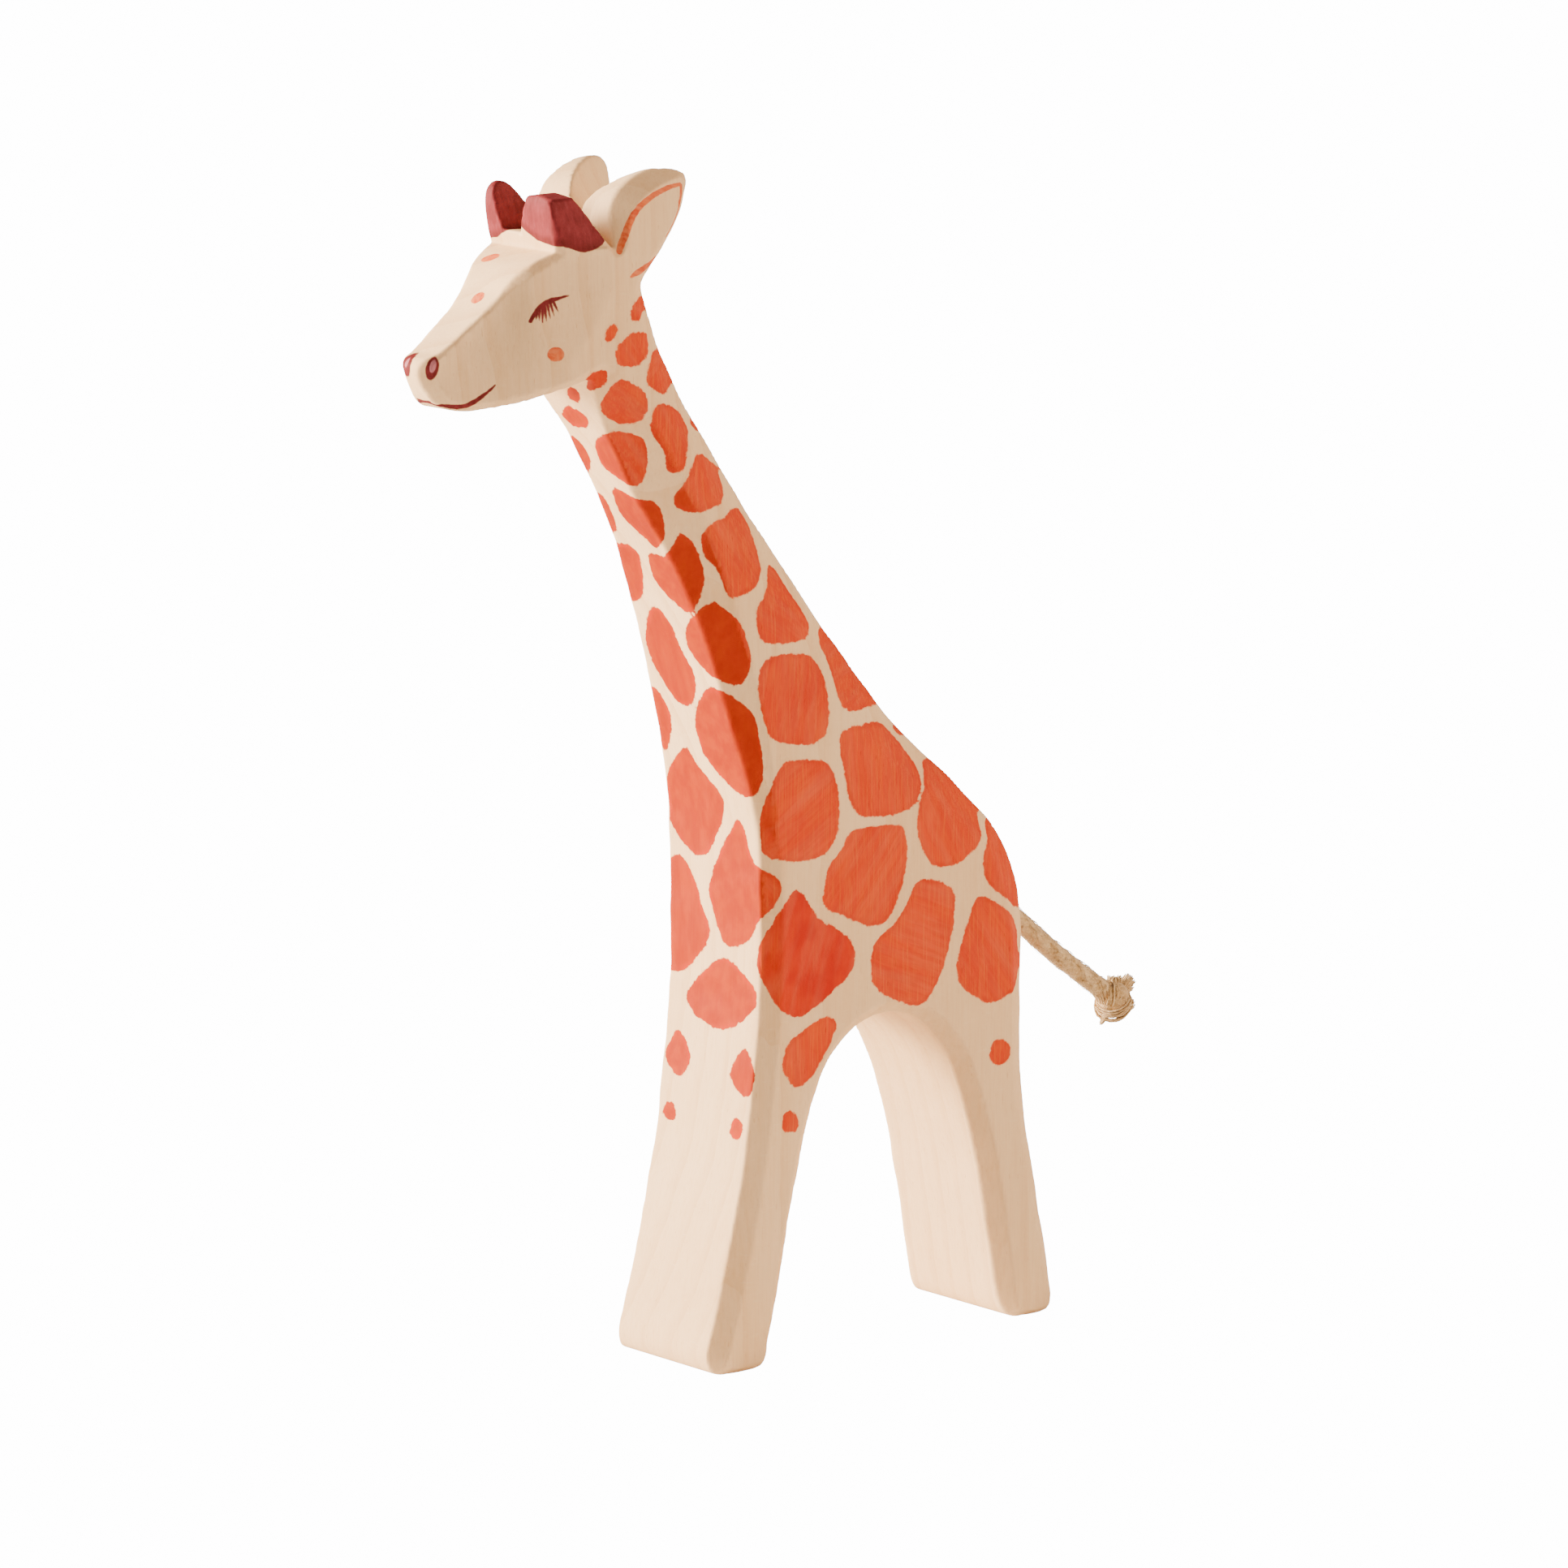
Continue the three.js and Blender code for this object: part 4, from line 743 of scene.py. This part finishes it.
def face_fields(P):
    """distances to the maroon paint, to the painted highlight in the middle of the nostrils, and to the orange lines
    and dots of head and ears
    """
    maroon = np.full(len(P), 6.0)
    for m in (False, True):
        dy = 0 if not m else .3
        eye = stroke(P, EYE, m)
        for n, (a, b) in enumerate(LASHES):
            w = .23
            eye = np.minimum(eye, stroke(P, [a+(w+.04,), tuple((np.array(a)+np.array(b))/2)+(w*.85,), tuple(np.array(b)+(np.array(b)-np.array(a))*.12)+(.07,)], m))
        maroon = np.minimum(maroon, eye)
        maroon = np.minimum(maroon, stroke(P, MOUTH, m))
    nostril_highlight = np.full(len(P), 6.0)
    for s in (1, -1):
        # nostrils: rings on the rounded front of the nose, the right one turned further round
        yn = P[:, 1]-YS
        if s > 0:
            uu = ((P[:, 0]-3.0)+(yn+67.1)-1.75-(P[:, 2]-182.8)*.22)/1.5; ww = (P[:, 2]-182.8)/1.95
        else:
            uu = (P[:, 0]+1.35+(P[:, 2]-183)*.06)/1.35; ww = (P[:, 2]-183.0)/1.9
        here = (yn < -63.2) & ((P[:, 0] > 1.7) if s > 0 else (P[:, 0] < 1.2))
        r = np.sqrt(uu*uu+ww*ww)
        v = np.where(here, (r-1)*1.15, 6.0)
        # painted highlight: a pale spot set high in each nostril, for the light on the inside of the carved hole
        ri = np.sqrt(((uu-.08)/(.50 if s > 0 else .28))**2+((ww-.22)/(.55 if s > 0 else .4))**2)
        p = np.where(here, (ri-1)*.6, 6.0)
        maroon = np.minimum(maroon, v)
        nostril_highlight = np.minimum(nostril_highlight, p)
    # horns
    yr = P[:, 1]-YS
    ax = P[:, 0]
    zb = np.where(ax > 0, np.interp(ax, [0, 1.6, 4.5, 8, 10.3, 11, 13], [205.2, 204.3, 203.0, 202.5, 202.4, 201.9, 201.6]), np.interp(-ax, [0, 3.2, 5.5, 7, 9, 12], [205.4, 204.2, 203.2, 202.4, 202.0, 201.9]))
    side = smooth(10.2, 11.2, np.abs(ax))*smooth(-43.6, -42.4, yr)
    zs = np.interp(yr, [-44, -42, -40.5, -39, -37, -35.1, -34], [201.6, 201.3, 201.0, 201.1, 201.5, 202.2, 203.2])
    back = smooth(-36.5, -34.5, yr)
    zb = zb*(1-side)+zs*side
    zb = zb+back*(203.4-zb)*(1-side)
    horn = np.where(yr < -33.4, (zb-P[:, 2])*0.9, 6.0)
    horn = np.where((yr >= -34.6) & (yr < -33.4), np.maximum(horn, (yr+34.0)), horn)
    horn = np.where(P[:, 2] < 199, 6.0, horn)
    maroon = np.minimum(maroon, np.clip(horn, -6, 6))
    orange = np.full(len(P), 6.0)
    for m in (False, True):
        for s in (EARLINE, EAR_REAR, EAR_LOW):
            orange = np.minimum(orange, stroke(P, s, m))
    # dots: forehead and cheeks, (x, y, z, half sizes)
    for x, y, z, rx, rz in [(-3.9, -47.7, 199.4, 1.8, 1.05), (0.5, -53.8, 193.5, 1.4, 1.25), (11.1, -45.2, 184.2, 1.5, 1.2), (-11.1, -45.6, 184.5, 1.4, 1.2), (3.2, -50.4, 197.2, 0, 0)][:4]:
        d = P-np.array([x, y+YS, z])
        if abs(x) > 8:
            r = np.sqrt((d[:, 1]/rx)**2+(d[:, 2]/rz)**2)
            v = np.where(np.abs(d[:, 0]) < 3, (r-1)*rz, 6.0)
        else:
            w = np.sqrt(d[:, 1]**2+d[:, 2]**2)*np.sign(d[:, 2]); c, s_ = math.cos(.5), math.sin(.5)
            u1, w1 = d[:, 0]*c+w*s_, -d[:, 0]*s_+w*c
            r = np.sqrt((u1/rx)**2+(w1/rz)**2)
            v = (r-1)*rz
        v = np.maximum(v, np.where(np.abs(d).max(1) > 5, 6.0, -6.0))
        orange = np.minimum(orange, v)
    return maroon, nostril_highlight, orange


def build_body():
    step = 0.74
    V, Q = surface(step)
    maroon, nostril_highlight, orange = face_fields(V)
    r = np.hypot(V[:, 0], (V[:, 1]-TAIL_EXIT[1])*TAIL_UP[1]+(V[:, 2]-TAIL_EXIT[2])*TAIL_UP[2])
    hole = (r < 3.2) & (V[:, 1] > 45)
    face = (V[:, 2] > 170) & (V[:, 1] < -14)
    thin = face & ((np.abs(maroon) < .95) | (np.abs(orange) < .8) | (maroon < 0) & (V[:, 2] < 201) | (orange < 0) & (V[:, 2] > 186))
    want = (thin | hole)[Q].any(1)
    me = bpy.data.meshes.new("body")
    me.from_pydata([tuple(v) for v in V], [], [tuple(int(i) for i in q) for q in Q])
    bm = bmesh.new(); bm.from_mesh(me)
    bm.faces.ensure_lookup_table()
    edges = set()
    for i in np.where(want)[0]:
        for e in bm.faces[int(i)].edges:
            edges.add(e)
    edges = sorted(edges, key=lambda e: e.index)
    bmesh.ops.subdivide_edges(bm, edges=edges, cuts=3, use_grid_fill=True)
    bm.to_mesh(me); bm.free()
    P = np.empty(len(me.vertices)*3); me.vertices.foreach_get("co", P); P = P.reshape(-1, 3)
    for _ in range(3):
        g = grad(P); f = field(P)
        P = P-np.clip(f/np.maximum((g*g).sum(1), .2), -0.2, .2)[:, None]*g
    P[:, 2] = np.maximum(P[:, 2], 0)
    N = grad(P, .12); N /= np.maximum(np.linalg.norm(N, axis=1), 1e-6)[:, None]
    sd, tone_and_painted_shade, angle = patch_field(P)
    maroon, nostril_highlight, orange = face_fields(P)
    # painted shade: the glaze is made darker by the facing of the surface where the key light falls, on the front edge
    # and part-way on the right flank
    painted_shade_front = smooth(.5, .8, -N[:, 1]); tone_and_painted_shade = np.maximum(tone_and_painted_shade, 0)*(1-painted_shade_front)-.35*painted_shade_front
    painted_shade_right = smooth(.5, .8, -N[:, 0])*(1-painted_shade_front); tone_and_painted_shade = np.where(tone_and_painted_shade < .5, tone_and_painted_shade*(1-painted_shade_right)-.04*painted_shade_right, tone_and_painted_shade-.3*painted_shade_right)
    # how strongly a spot lies on a whittled facet, which gets painted shade, or on a tightly curved edge
    nx = np.abs(N[:, 0]); facet_shade = np.exp(-((nx-.64)/.26)**2)
    N2 = grad(P, .9); N2 /= np.maximum(np.linalg.norm(N2, axis=1), 1e-6)[:, None]
    curve = np.clip((1-(N*N2).sum(1))*9, 0, 1)
    me.vertices.foreach_set("co", (P*MM).ravel())
    me.update()
    me.polygons.foreach_set("use_smooth", [True]*len(me.polygons))
    for key, val in (("sd_patch", sd), ("tone_and_painted_shade", tone_and_painted_shade), ("turn", angle), ("sd_maroon", maroon), ("sd_nostril_highlight", nostril_highlight), ("sd_orange", orange), ("facet_shade", facet_shade), ("curve", curve)):
        at = me.attributes.new(key, "FLOAT", "POINT")
        at.data.foreach_set("value", val.astype(np.float32))
    me.normals_split_custom_set_from_vertices([tuple(n) for n in N])
    ob = bpy.data.objects.new("carved_giraffe", me)
    bpy.context.scene.collection.objects.link(ob)
    return ob


body = build_body()
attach(body, "carving")
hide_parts("giraffe_body")


def build_glue():
    """dried glue at the bottom of the hole"""
    n = 28; v, f = [], []
    for j, (d, r) in enumerate([(-11.6, 0.05), (-11.6, 1.75), (-11.3, 1.86), (-10.9, 1.86), (-10.6, 1.7), (-10.45, 1.2), (-10.4, 0.05)]):
        for k in range(n):
            a = 2*math.pi*k/n
            v.append(tail_point(d+.05*math.sin(3*a+j), r*(1+.02*math.sin(4*a+j)), a))
    for j in range(6):
        for k in range(n):
            a, b = j*n+k, j*n+(k+1) % n
            f.append((a, b, b+n, a+n))
    return link_mesh("dried_glue", v, f)


glue = build_glue()
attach(glue, "carving")
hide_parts("tail_glue")

# ------------------------------------------------------------------ materials


class Nodes:
    def __init__(self, name):
        self.m = bpy.data.materials.new(name)
        self.m.use_nodes = True
        self.t = self.m.node_tree
        self.t.nodes.clear()
        self.out = self.t.nodes.new("ShaderNodeOutputMaterial")
        self.b = self.t.nodes.new("ShaderNodeBsdfPrincipled")
        self.t.links.new(self.b.outputs[0], self.out.inputs[0])

    def put(self, sock, v):
        if isinstance(v, bpy.types.NodeSocket):
            self.t.links.new(v, sock)
        elif v is not None:
            if sock.type == "RGBA" and len(v) == 3:
                v = (*v, 1)
            sock.default_value = v

    def attr(self, name, out="Fac"):
        n = self.t.nodes.new("ShaderNodeAttribute"); n.attribute_name = name
        return n.outputs[out]

    def math(self, op, a, b=None, c=None, clamp=False):
        n = self.t.nodes.new("ShaderNodeMath"); n.operation = op; n.use_clamp = clamp
        self.put(n.inputs[0], a); self.put(n.inputs[1], b)
        if c is not None:
            self.put(n.inputs[2], c)
        return n.outputs[0]

    def add(self, a, b): return self.math("ADD", a, b)
    def mul(self, a, b): return self.math("MULTIPLY", a, b)
    def sub(self, a, b): return self.math("SUBTRACT", a, b)

    def step(self, v, a, b, lo=0.0, hi=1.0):
        n = self.t.nodes.new("ShaderNodeMapRange"); n.interpolation_type = "SMOOTHSTEP"
        self.put(n.inputs[0], v)
        for k, x in ((1, a), (2, b), (3, lo), (4, hi)):
            n.inputs[k].default_value = x
        return n.outputs[0]

    def mix(self, f, a, b, mode="MIX"):
        n = self.t.nodes.new("ShaderNodeMix"); n.data_type = "RGBA"; n.blend_type = mode
        self.put(n.inputs[0], f); self.put(n.inputs[6], a); self.put(n.inputs[7], b)
        return n.outputs[2]

    def coords(self, scale=(1, 1, 1), loc=(0, 0, 0), rot=(0, 0, 0), src=None):
        if src is None:
            src = self.t.nodes.new("ShaderNodeTexCoord").outputs["Object"]
        n = self.t.nodes.new("ShaderNodeMapping")
        self.put(n.inputs[0], src)
        n.inputs[1].default_value = loc; n.inputs[2].default_value = rot; n.inputs[3].default_value = scale
        return n.outputs[0]

    def noise(self, vec, scale, detail=2.0, rough=0.5, out="Fac", dist=0.0):
        n = self.t.nodes.new("ShaderNodeTexNoise")
        self.put(n.inputs["Vector"], vec)
        n.inputs["Scale"].default_value = scale; n.inputs["Detail"].default_value = detail
        n.inputs["Roughness"].default_value = rough; n.inputs["Distortion"].default_value = dist
        return n.outputs[out]

    def wave(self, vec, scale, dist=2.0, detail=2.0, dscale=1.0, kind="BANDS", direction="X", profile="SIN"):
        n = self.t.nodes.new("ShaderNodeTexWave"); n.wave_type = kind
        if kind == "BANDS":
            n.bands_direction = direction
        else:
            n.rings_direction = direction
        n.wave_profile = profile
        self.put(n.inputs["Vector"], vec)
        n.inputs["Scale"].default_value = scale; n.inputs["Distortion"].default_value = dist
        n.inputs["Detail"].default_value = detail; n.inputs["Detail Scale"].default_value = dscale
        return n.outputs["Fac"]

    def voronoi(self, vec, scale, rand=1.0):
        n = self.t.nodes.new("ShaderNodeTexVoronoi")
        self.put(n.inputs["Vector"], vec); n.inputs["Scale"].default_value = scale; n.inputs["Randomness"].default_value = rand
        return n.outputs["Distance"]

    def bump(self, height, strength, distance, normal=None):
        n = self.t.nodes.new("ShaderNodeBump")
        n.inputs["Strength"].default_value = strength; n.inputs["Distance"].default_value = distance
        self.put(n.inputs["Height"], height)
        if normal is not None:
            self.put(n.inputs["Normal"], normal)
        return n.outputs[0]


GAIN = (1.0, 1.0, 1.0)


def srgb(h, gain=None):
    c = [int(h[i:i+2], 16)/255 for i in (0, 2, 4)]
    g = gain or GAIN
    return tuple(min(.97, (x/12.92 if x <= 0.04045 else ((x+0.055)/1.055)**2.4)*k) for x, k in zip(c, g))


WOOD, ORANGE, MAROON, HEMP = (1.08, .90, .64), (.84, .37, .075), (.64, .36, .46), (1.10, 1.08, .98)


def maple_material():
    s = Nodes("painted_maple")
    # --- wood: growth rings standing nearly upright, fibres along the height, short medullary flecks
    ring_vec = s.coords(scale=(1, 1, 0.055), loc=(0.062, -0.02, 0.0), rot=(0.06, -0.035, 0.4))
    rings = s.wave(ring_vec, 62, dist=2.6, detail=2.0, dscale=1.2, kind="RINGS", direction="Z", profile="SAW")
    rings_soft = s.step(rings, 0.55, 1.0)
    fibre = s.noise(s.coords(scale=(1, 1, 0.035)), 2600, 3.0, .6)
    fibre2 = s.noise(s.coords(scale=(1, 1, 0.06)), 900, 2.0, .5)
    fleck_a = s.noise(s.coords(scale=(1, 1, 5.0)), 420, 2.0, .6)
    fleck = s.step(fleck_a, 0.60, 0.74)
    pores = s.noise(s.coords(scale=(1, 1, .12)), 3600, 1.0, .5)
    pore = s.step(pores, 0.68, 0.80)
    cloud = s.noise(s.coords(scale=(1, 1, .35)), 34, 2.0, .5)
    cloud2 = s.noise(s.coords(), 11, 1.0, .5)
    col = s.mix(s.step(cloud, .3, .7), srgb("EFDCC4", WOOD), srgb("E6CFB3", WOOD))
    col = s.mix(s.mul(rings_soft, .34), col, srgb("D2B08A", WOOD))
    col = s.mix(s.mul(s.step(cloud2, .45, .68), .28), col, srgb("F3E3CF", WOOD))
    col = s.mix(s.mul(s.step(fibre, .42, .72), .26), col, srgb("D3B593", WOOD))
    col = s.mix(s.mul(s.step(fibre2, .35, .6), .15), col, srgb("F6E8D6", WOOD))
    col = s.mix(s.mul(fleck, .20), col, srgb("F8ECDC", WOOD))
    col = s.mix(s.mul(pore, .38), col, srgb("B58E66", WOOD))
    # slightly lighter on tightly curved edges; painted shade: the whittled facets are darker, as they take less of the
    # studio light
    facet_shade = s.attr("facet_shade"); curve = s.attr("curve")
    col = s.mix(s.mul(facet_shade, .16), col, srgb("CFAE8C", WOOD))
    col = s.mix(s.mul(s.step(curve, .35, 1.0), .14), col, srgb("FAF0E4", WOOD))
    wood = col

    # --- orange glaze
    sd = s.attr("sd_patch"); tone_and_painted_shade = s.attr("tone_and_painted_shade"); turn = s.attr("turn")
    n_edge = s.noise(s.coords(), 900, 3.0, .6)
    n_edge2 = s.noise(s.coords(scale=(1, 1, .5)), 260, 2.0, .5)
    wob = s.add(s.mul(s.sub(n_edge, .5), 1.0), s.mul(s.sub(n_edge2, .5), .7))
    sdw = s.add(s.add(sd, wob), .10)
    cover = s.step(sdw, 0.17, -0.10)
    # brush streaks, each patch brushed in its own direction
    tilt = s.t.nodes.new("ShaderNodeVectorRotate"); tilt.rotation_type = "X_AXIS"
    s.put(tilt.inputs["Vector"], s.t.nodes.new("ShaderNodeTexCoord").outputs["Object"])
    s.put(tilt.inputs["Angle"], s.mul(s.sub(turn, .5), 2.4))
    streak = s.noise(s.coords(scale=(1, 1, .09), src=tilt.outputs[0]), 1300, 3.0, .6)
    streak2 = s.noise(s.coords(scale=(1, 1, .16), src=tilt.outputs[0]), 420, 2.0, .5)
    pool = s.noise(s.coords(), 95, 2.0, .5)
    pool2 = s.noise(s.coords(scale=(1, 1, .6)), 210, 2.0, .5)
    o = s.mix(s.step(pool, .32, .68), srgb("EA6A3B", ORANGE), srgb("E05A2C", ORANGE))
    o = s.mix(s.mul(s.step(pool2, .48, .70), .38), o, srgb("F0854F", ORANGE))
    o = s.mix(s.mul(s.step(streak, .42, .62), .42), o, srgb("D2491F", ORANGE))
    o = s.mix(s.mul(s.step(streak2, .50, .72), .20), o, srgb("F39362", ORANGE))
    # fibres of the wood show through the thin glaze
    o = s.mix(s.mul(s.step(fibre, .46, .66), .42), o, srgb("F6A273", ORANGE))
    o = s.mix(s.mul(pore, .62), o, srgb("B23A18", ORANGE))
    # tone of the patch: negative is painted shade, a darker glaze on the faces the key light falls on; positive redder
    # and thicker
    o = s.mix(s.step(tone_and_painted_shade, 0.12, -0.18, 0, .88), o, s.mix(s.step(streak2, .35, .7), (.30, .020, .0005), (.37, .032, .001)))
    o = s.mix(s.step(tone_and_painted_shade, 0.2, 1.3, 0, .80), o, srgb("D5371A", ORANGE))
    red = s.mul(s.step(tone_and_painted_shade, .25, 1.0), s.step(s.noise(s.coords(loc=(.3, .1, 0)), 120, 2.0, .5), .45, .62))
    o = s.mix(s.mul(red, .75), o, srgb("C92B14", ORANGE))
    # where the brush turned over a whittled facet the paint lies thicker, and painted shade darkens it further, as the
    # facets take less light
    o = s.mix(s.mul(facet_shade, .42), o, srgb("C8401E", ORANGE))
    # pigment gathers along the rim, with a paler soaked line just outside
    rim = s.mul(s.step(sdw, -1.15, -0.25), s.step(sdw, .05, -.18))
    o = s.mix(s.mul(rim, s.step(s.noise(s.coords(loc=(.1, .4, .2)), 150, 1.0, .5), .40, .62, .10, .55)), o, srgb("CF4A20", ORANGE))
    halo = s.step(sdw, .34, .04)
    col = s.mix(s.mul(halo, .22), wood, srgb("F2A780", ORANGE))
    # the glaze covers more fully where the tone is negative, part of the painted shade on the faces the key light falls
    # on
    thin = s.add(s.add(.975, s.mul(s.sub(streak2, .5), .22)), s.step(tone_and_painted_shade, .12, -.18, 0, .08))
    col = s.mix(s.math("MULTIPLY", cover, thin, clamp=True), col, o)

    # --- orange lines and dots of head and ears
    so = s.add(s.attr("sd_orange"), s.mul(s.sub(n_edge, .5), .35))
    lo = s.mix(s.step(streak, .4, .65), srgb("E67C3E", ORANGE), srgb("D85F24", ORANGE))
    lo = s.mix(s.step(s.noise(s.coords(), 330, 2.0, .5), .45, .7, 0, .5), lo, srgb("F2A073", ORANGE))
    col = s.mix(s.mul(s.step(so, .12, -.10), s.add(.86, s.mul(s.sub(streak, .5), .5))), col, lo)

    # --- maroon paint: horns, eyes, mouth, nostrils
    sm = s.add(s.attr("sd_maroon"), s.mul(s.sub(n_edge, .5), .28))
    horn_zone = s.step(s.attr("sd_maroon"), -0.5, -1.6)
    big = s.noise(s.coords(), 260, 2.0, .55)
    brush = s.noise(s.coords(scale=(1, 1, .22), rot=(.9, .3, .2)), 1100, 3.0, .65)
    horn_col = s.mix(s.step(big, .35, .65), srgb("A44B4D", MAROON), srgb("903A3E", MAROON))
    horn_col = s.mix(s.mul(s.step(brush, .50, .72), .30), horn_col, srgb("C07574", MAROON))
    horn_col = s.mix(s.mul(s.step(brush, .50, .30), .45), horn_col, srgb("76272C", MAROON))
    line_col = s.mix(s.step(brush, .35, .65), srgb("7A2A2C", MAROON), srgb("8E3A3C", MAROON))
    mar = s.mix(horn_zone, line_col, horn_col)
    col = s.mix(s.mul(s.step(sm, .14, -.08), .987), col, mar)
    # painted highlight in the middle of the nostrils
    col = s.mix(s.mul(s.step(s.attr("sd_nostril_highlight"), .12, -.12), .80), col, srgb("EEC4BC", MAROON))

    s.put(s.b.inputs["Base Color"], col)
    r = s.add(.62, s.mul(s.sub(fibre2, .5), .16))
    r = s.add(r, s.mul(cover, -.04))
    s.put(s.b.inputs["Roughness"], r)
    s.b.inputs["IOR"].default_value = 1.45
    s.b.inputs["Specular IOR Level"].default_value = 0.08
    hgt = s.add(s.mul(fibre, .5), s.mul(fleck_a, .28))
    hgt = s.sub(hgt, s.mul(pore, .35))
    nrm = s.bump(hgt, .22, 0.00012)
    nrm = s.bump(s.noise(s.coords(scale=(1, 1, .5)), 240, 2.0, .5), .16, 0.0006, nrm)
    s.put(s.b.inputs["Normal"], nrm)
    return s.m


def hemp_material():
    s = Nodes("hemp_cord")
    c = s.t.nodes.new("ShaderNodeSeparateXYZ")
    s.put(c.inputs[0], s.attr("cord", "Vector"))
    shade = c.outputs[2]
    fib = s.noise(s.coords(scale=(1, .42, .8), rot=(.65, 0, .5)), 2400, 3.0, .65)
    fib2 = s.noise(s.coords(rot=(.2, .4, 0)), 800, 3.0, .6)
    lump = s.noise(s.coords(), 330, 2.0, .5)
    speck = s.step(s.noise(s.coords(scale=(1, .6, .6)), 1050, 1.0, .5), .655, .75)
    col = s.mix(s.step(fib, .35, .68), srgb("B5935F", HEMP), srgb("DCC196", HEMP))
    col = s.mix(s.step(lump, .35, .7, 0, .55), col, srgb("CBA878", HEMP))
    col = s.mix(s.step(fib2, .5, .75, 0, .42), col, srgb("9C7B4C", HEMP))
    col = s.mix(s.step(shade, .35, 1.0, 0, .45), col, srgb("E8D2AC", HEMP))
    col = s.mix(s.step(shade, .45, 0.0, 0, .45), col, srgb("94723F", HEMP))
    col = s.mix(s.mul(speck, .55), col, srgb("6E5230", HEMP))
    s.put(s.b.inputs["Base Color"], col)
    s.b.inputs["Roughness"].default_value = .92
    s.b.inputs["Specular IOR Level"].default_value = 0.15
    s.b.inputs["Sheen Weight"].default_value = .35
    s.b.inputs["Sheen Roughness"].default_value = .5
    nrm = s.bump(s.add(fib, s.mul(fib2, .8)), .75, 0.00030)
    s.put(s.b.inputs["Normal"], nrm)
    return s.m


def glue_material():
    s = Nodes("wood_glue")
    n = s.noise(s.coords(), 900, 2.0, .5)
    s.put(s.b.inputs["Base Color"], s.mix(n, srgb("E7D9B4"), srgb("D9C391")))
    s.b.inputs["Roughness"].default_value = .3
    s.put(s.b.inputs["Normal"], s.bump(n, .3, .0002))
    return s.m


def floor_material():
    """white sweep: even white for the camera, an ordinary pale floor for the light that it throws back"""
    s = Nodes("white_sweep")
    n = s.noise(s.coords(), 60, 2.0, .5)
    s.put(s.b.inputs["Base Color"], s.mix(n, (.80, .79, .77), (.84, .83, .81)))
    s.b.inputs["Roughness"].default_value = .9
    s.b.inputs["Specular IOR Level"].default_value = 0.0
    em = s.t.nodes.new("ShaderNodeEmission")
    em.inputs[0].default_value = (1, 1, 1, 1); em.inputs[1].default_value = 15.0
    lp = s.t.nodes.new("ShaderNodeLightPath")
    mx = s.t.nodes.new("ShaderNodeMixShader")
    s.t.links.new(lp.outputs["Is Camera Ray"], mx.inputs[0])
    s.t.links.new(s.b.outputs[0], mx.inputs[1]); s.t.links.new(em.outputs[0], mx.inputs[2])
    s.t.links.new(mx.outputs[0], s.out.inputs[0])
    return s.m


wood_mat, hemp_mat, glue_mat = maple_material(), hemp_material(), glue_material()
body.data.materials.append(wood_mat)
for ob in (stub, run, knot, tuft):
    ob.data.materials.append(hemp_mat)
glue.data.materials.append(glue_mat)

# ------------------------------------------------------------------ floor and light
me = bpy.data.meshes.new("floor")
F = 6.0
me.from_pydata([(-F, -F, -0.0002), (F, -F, -0.0002), (F, F, -0.0002), (-F, F, -0.0002)], [], [(0, 1, 2, 3)])
floor = bpy.data.objects.new("floor", me)
bpy.context.scene.collection.objects.link(floor)
floor.data.materials.append(floor_material())


def area(name, loc, target, size, power, color):
    d = bpy.data.lights.new(name, "AREA")
    d.shape = "RECTANGLE"; d.size, d.size_y = size; d.energy = power; d.color = color
    o = bpy.data.objects.new(name, d)
    bpy.context.scene.collection.objects.link(o)
    o.location = loc
    o.rotation_euler = (Vector(target)-Vector(loc)).to_track_quat("-Z", "Y").to_euler()
    return o


C0 = (0, 0, 0.11)
area("key", (-1.18, -1.08, 0.60), C0, (0.8, 0.8), 172.0, (1.0, 0.86, 0.72))
area("fill_side", (1.05, 1.10, 0.55), C0, (0.8, 0.8), 23.0, (1.0, 0.76, 0.56))

world = bpy.data.worlds.new("world")
bpy.context.scene.world = world
world.use_nodes = True
wt = world.node_tree
bg = wt.nodes.get("Background")
bg.inputs[0].default_value = (1.0, 0.80, 0.66, 1)
bg.inputs[1].default_value = 0.44
bg2 = wt.nodes.new("ShaderNodeBackground")
bg2.inputs[0].default_value = (1, 1, 1, 1); bg2.inputs[1].default_value = 15.0
lp = wt.nodes.new("ShaderNodeLightPath"); mx = wt.nodes.new("ShaderNodeMixShader")
wt.links.new(lp.outputs["Is Camera Ray"], mx.inputs[0])
wt.links.new(bg.outputs[0], mx.inputs[1]); wt.links.new(bg2.outputs[0], mx.inputs[2])
wt.links.new(mx.outputs[0], wt.nodes.get("World Output").inputs[0])
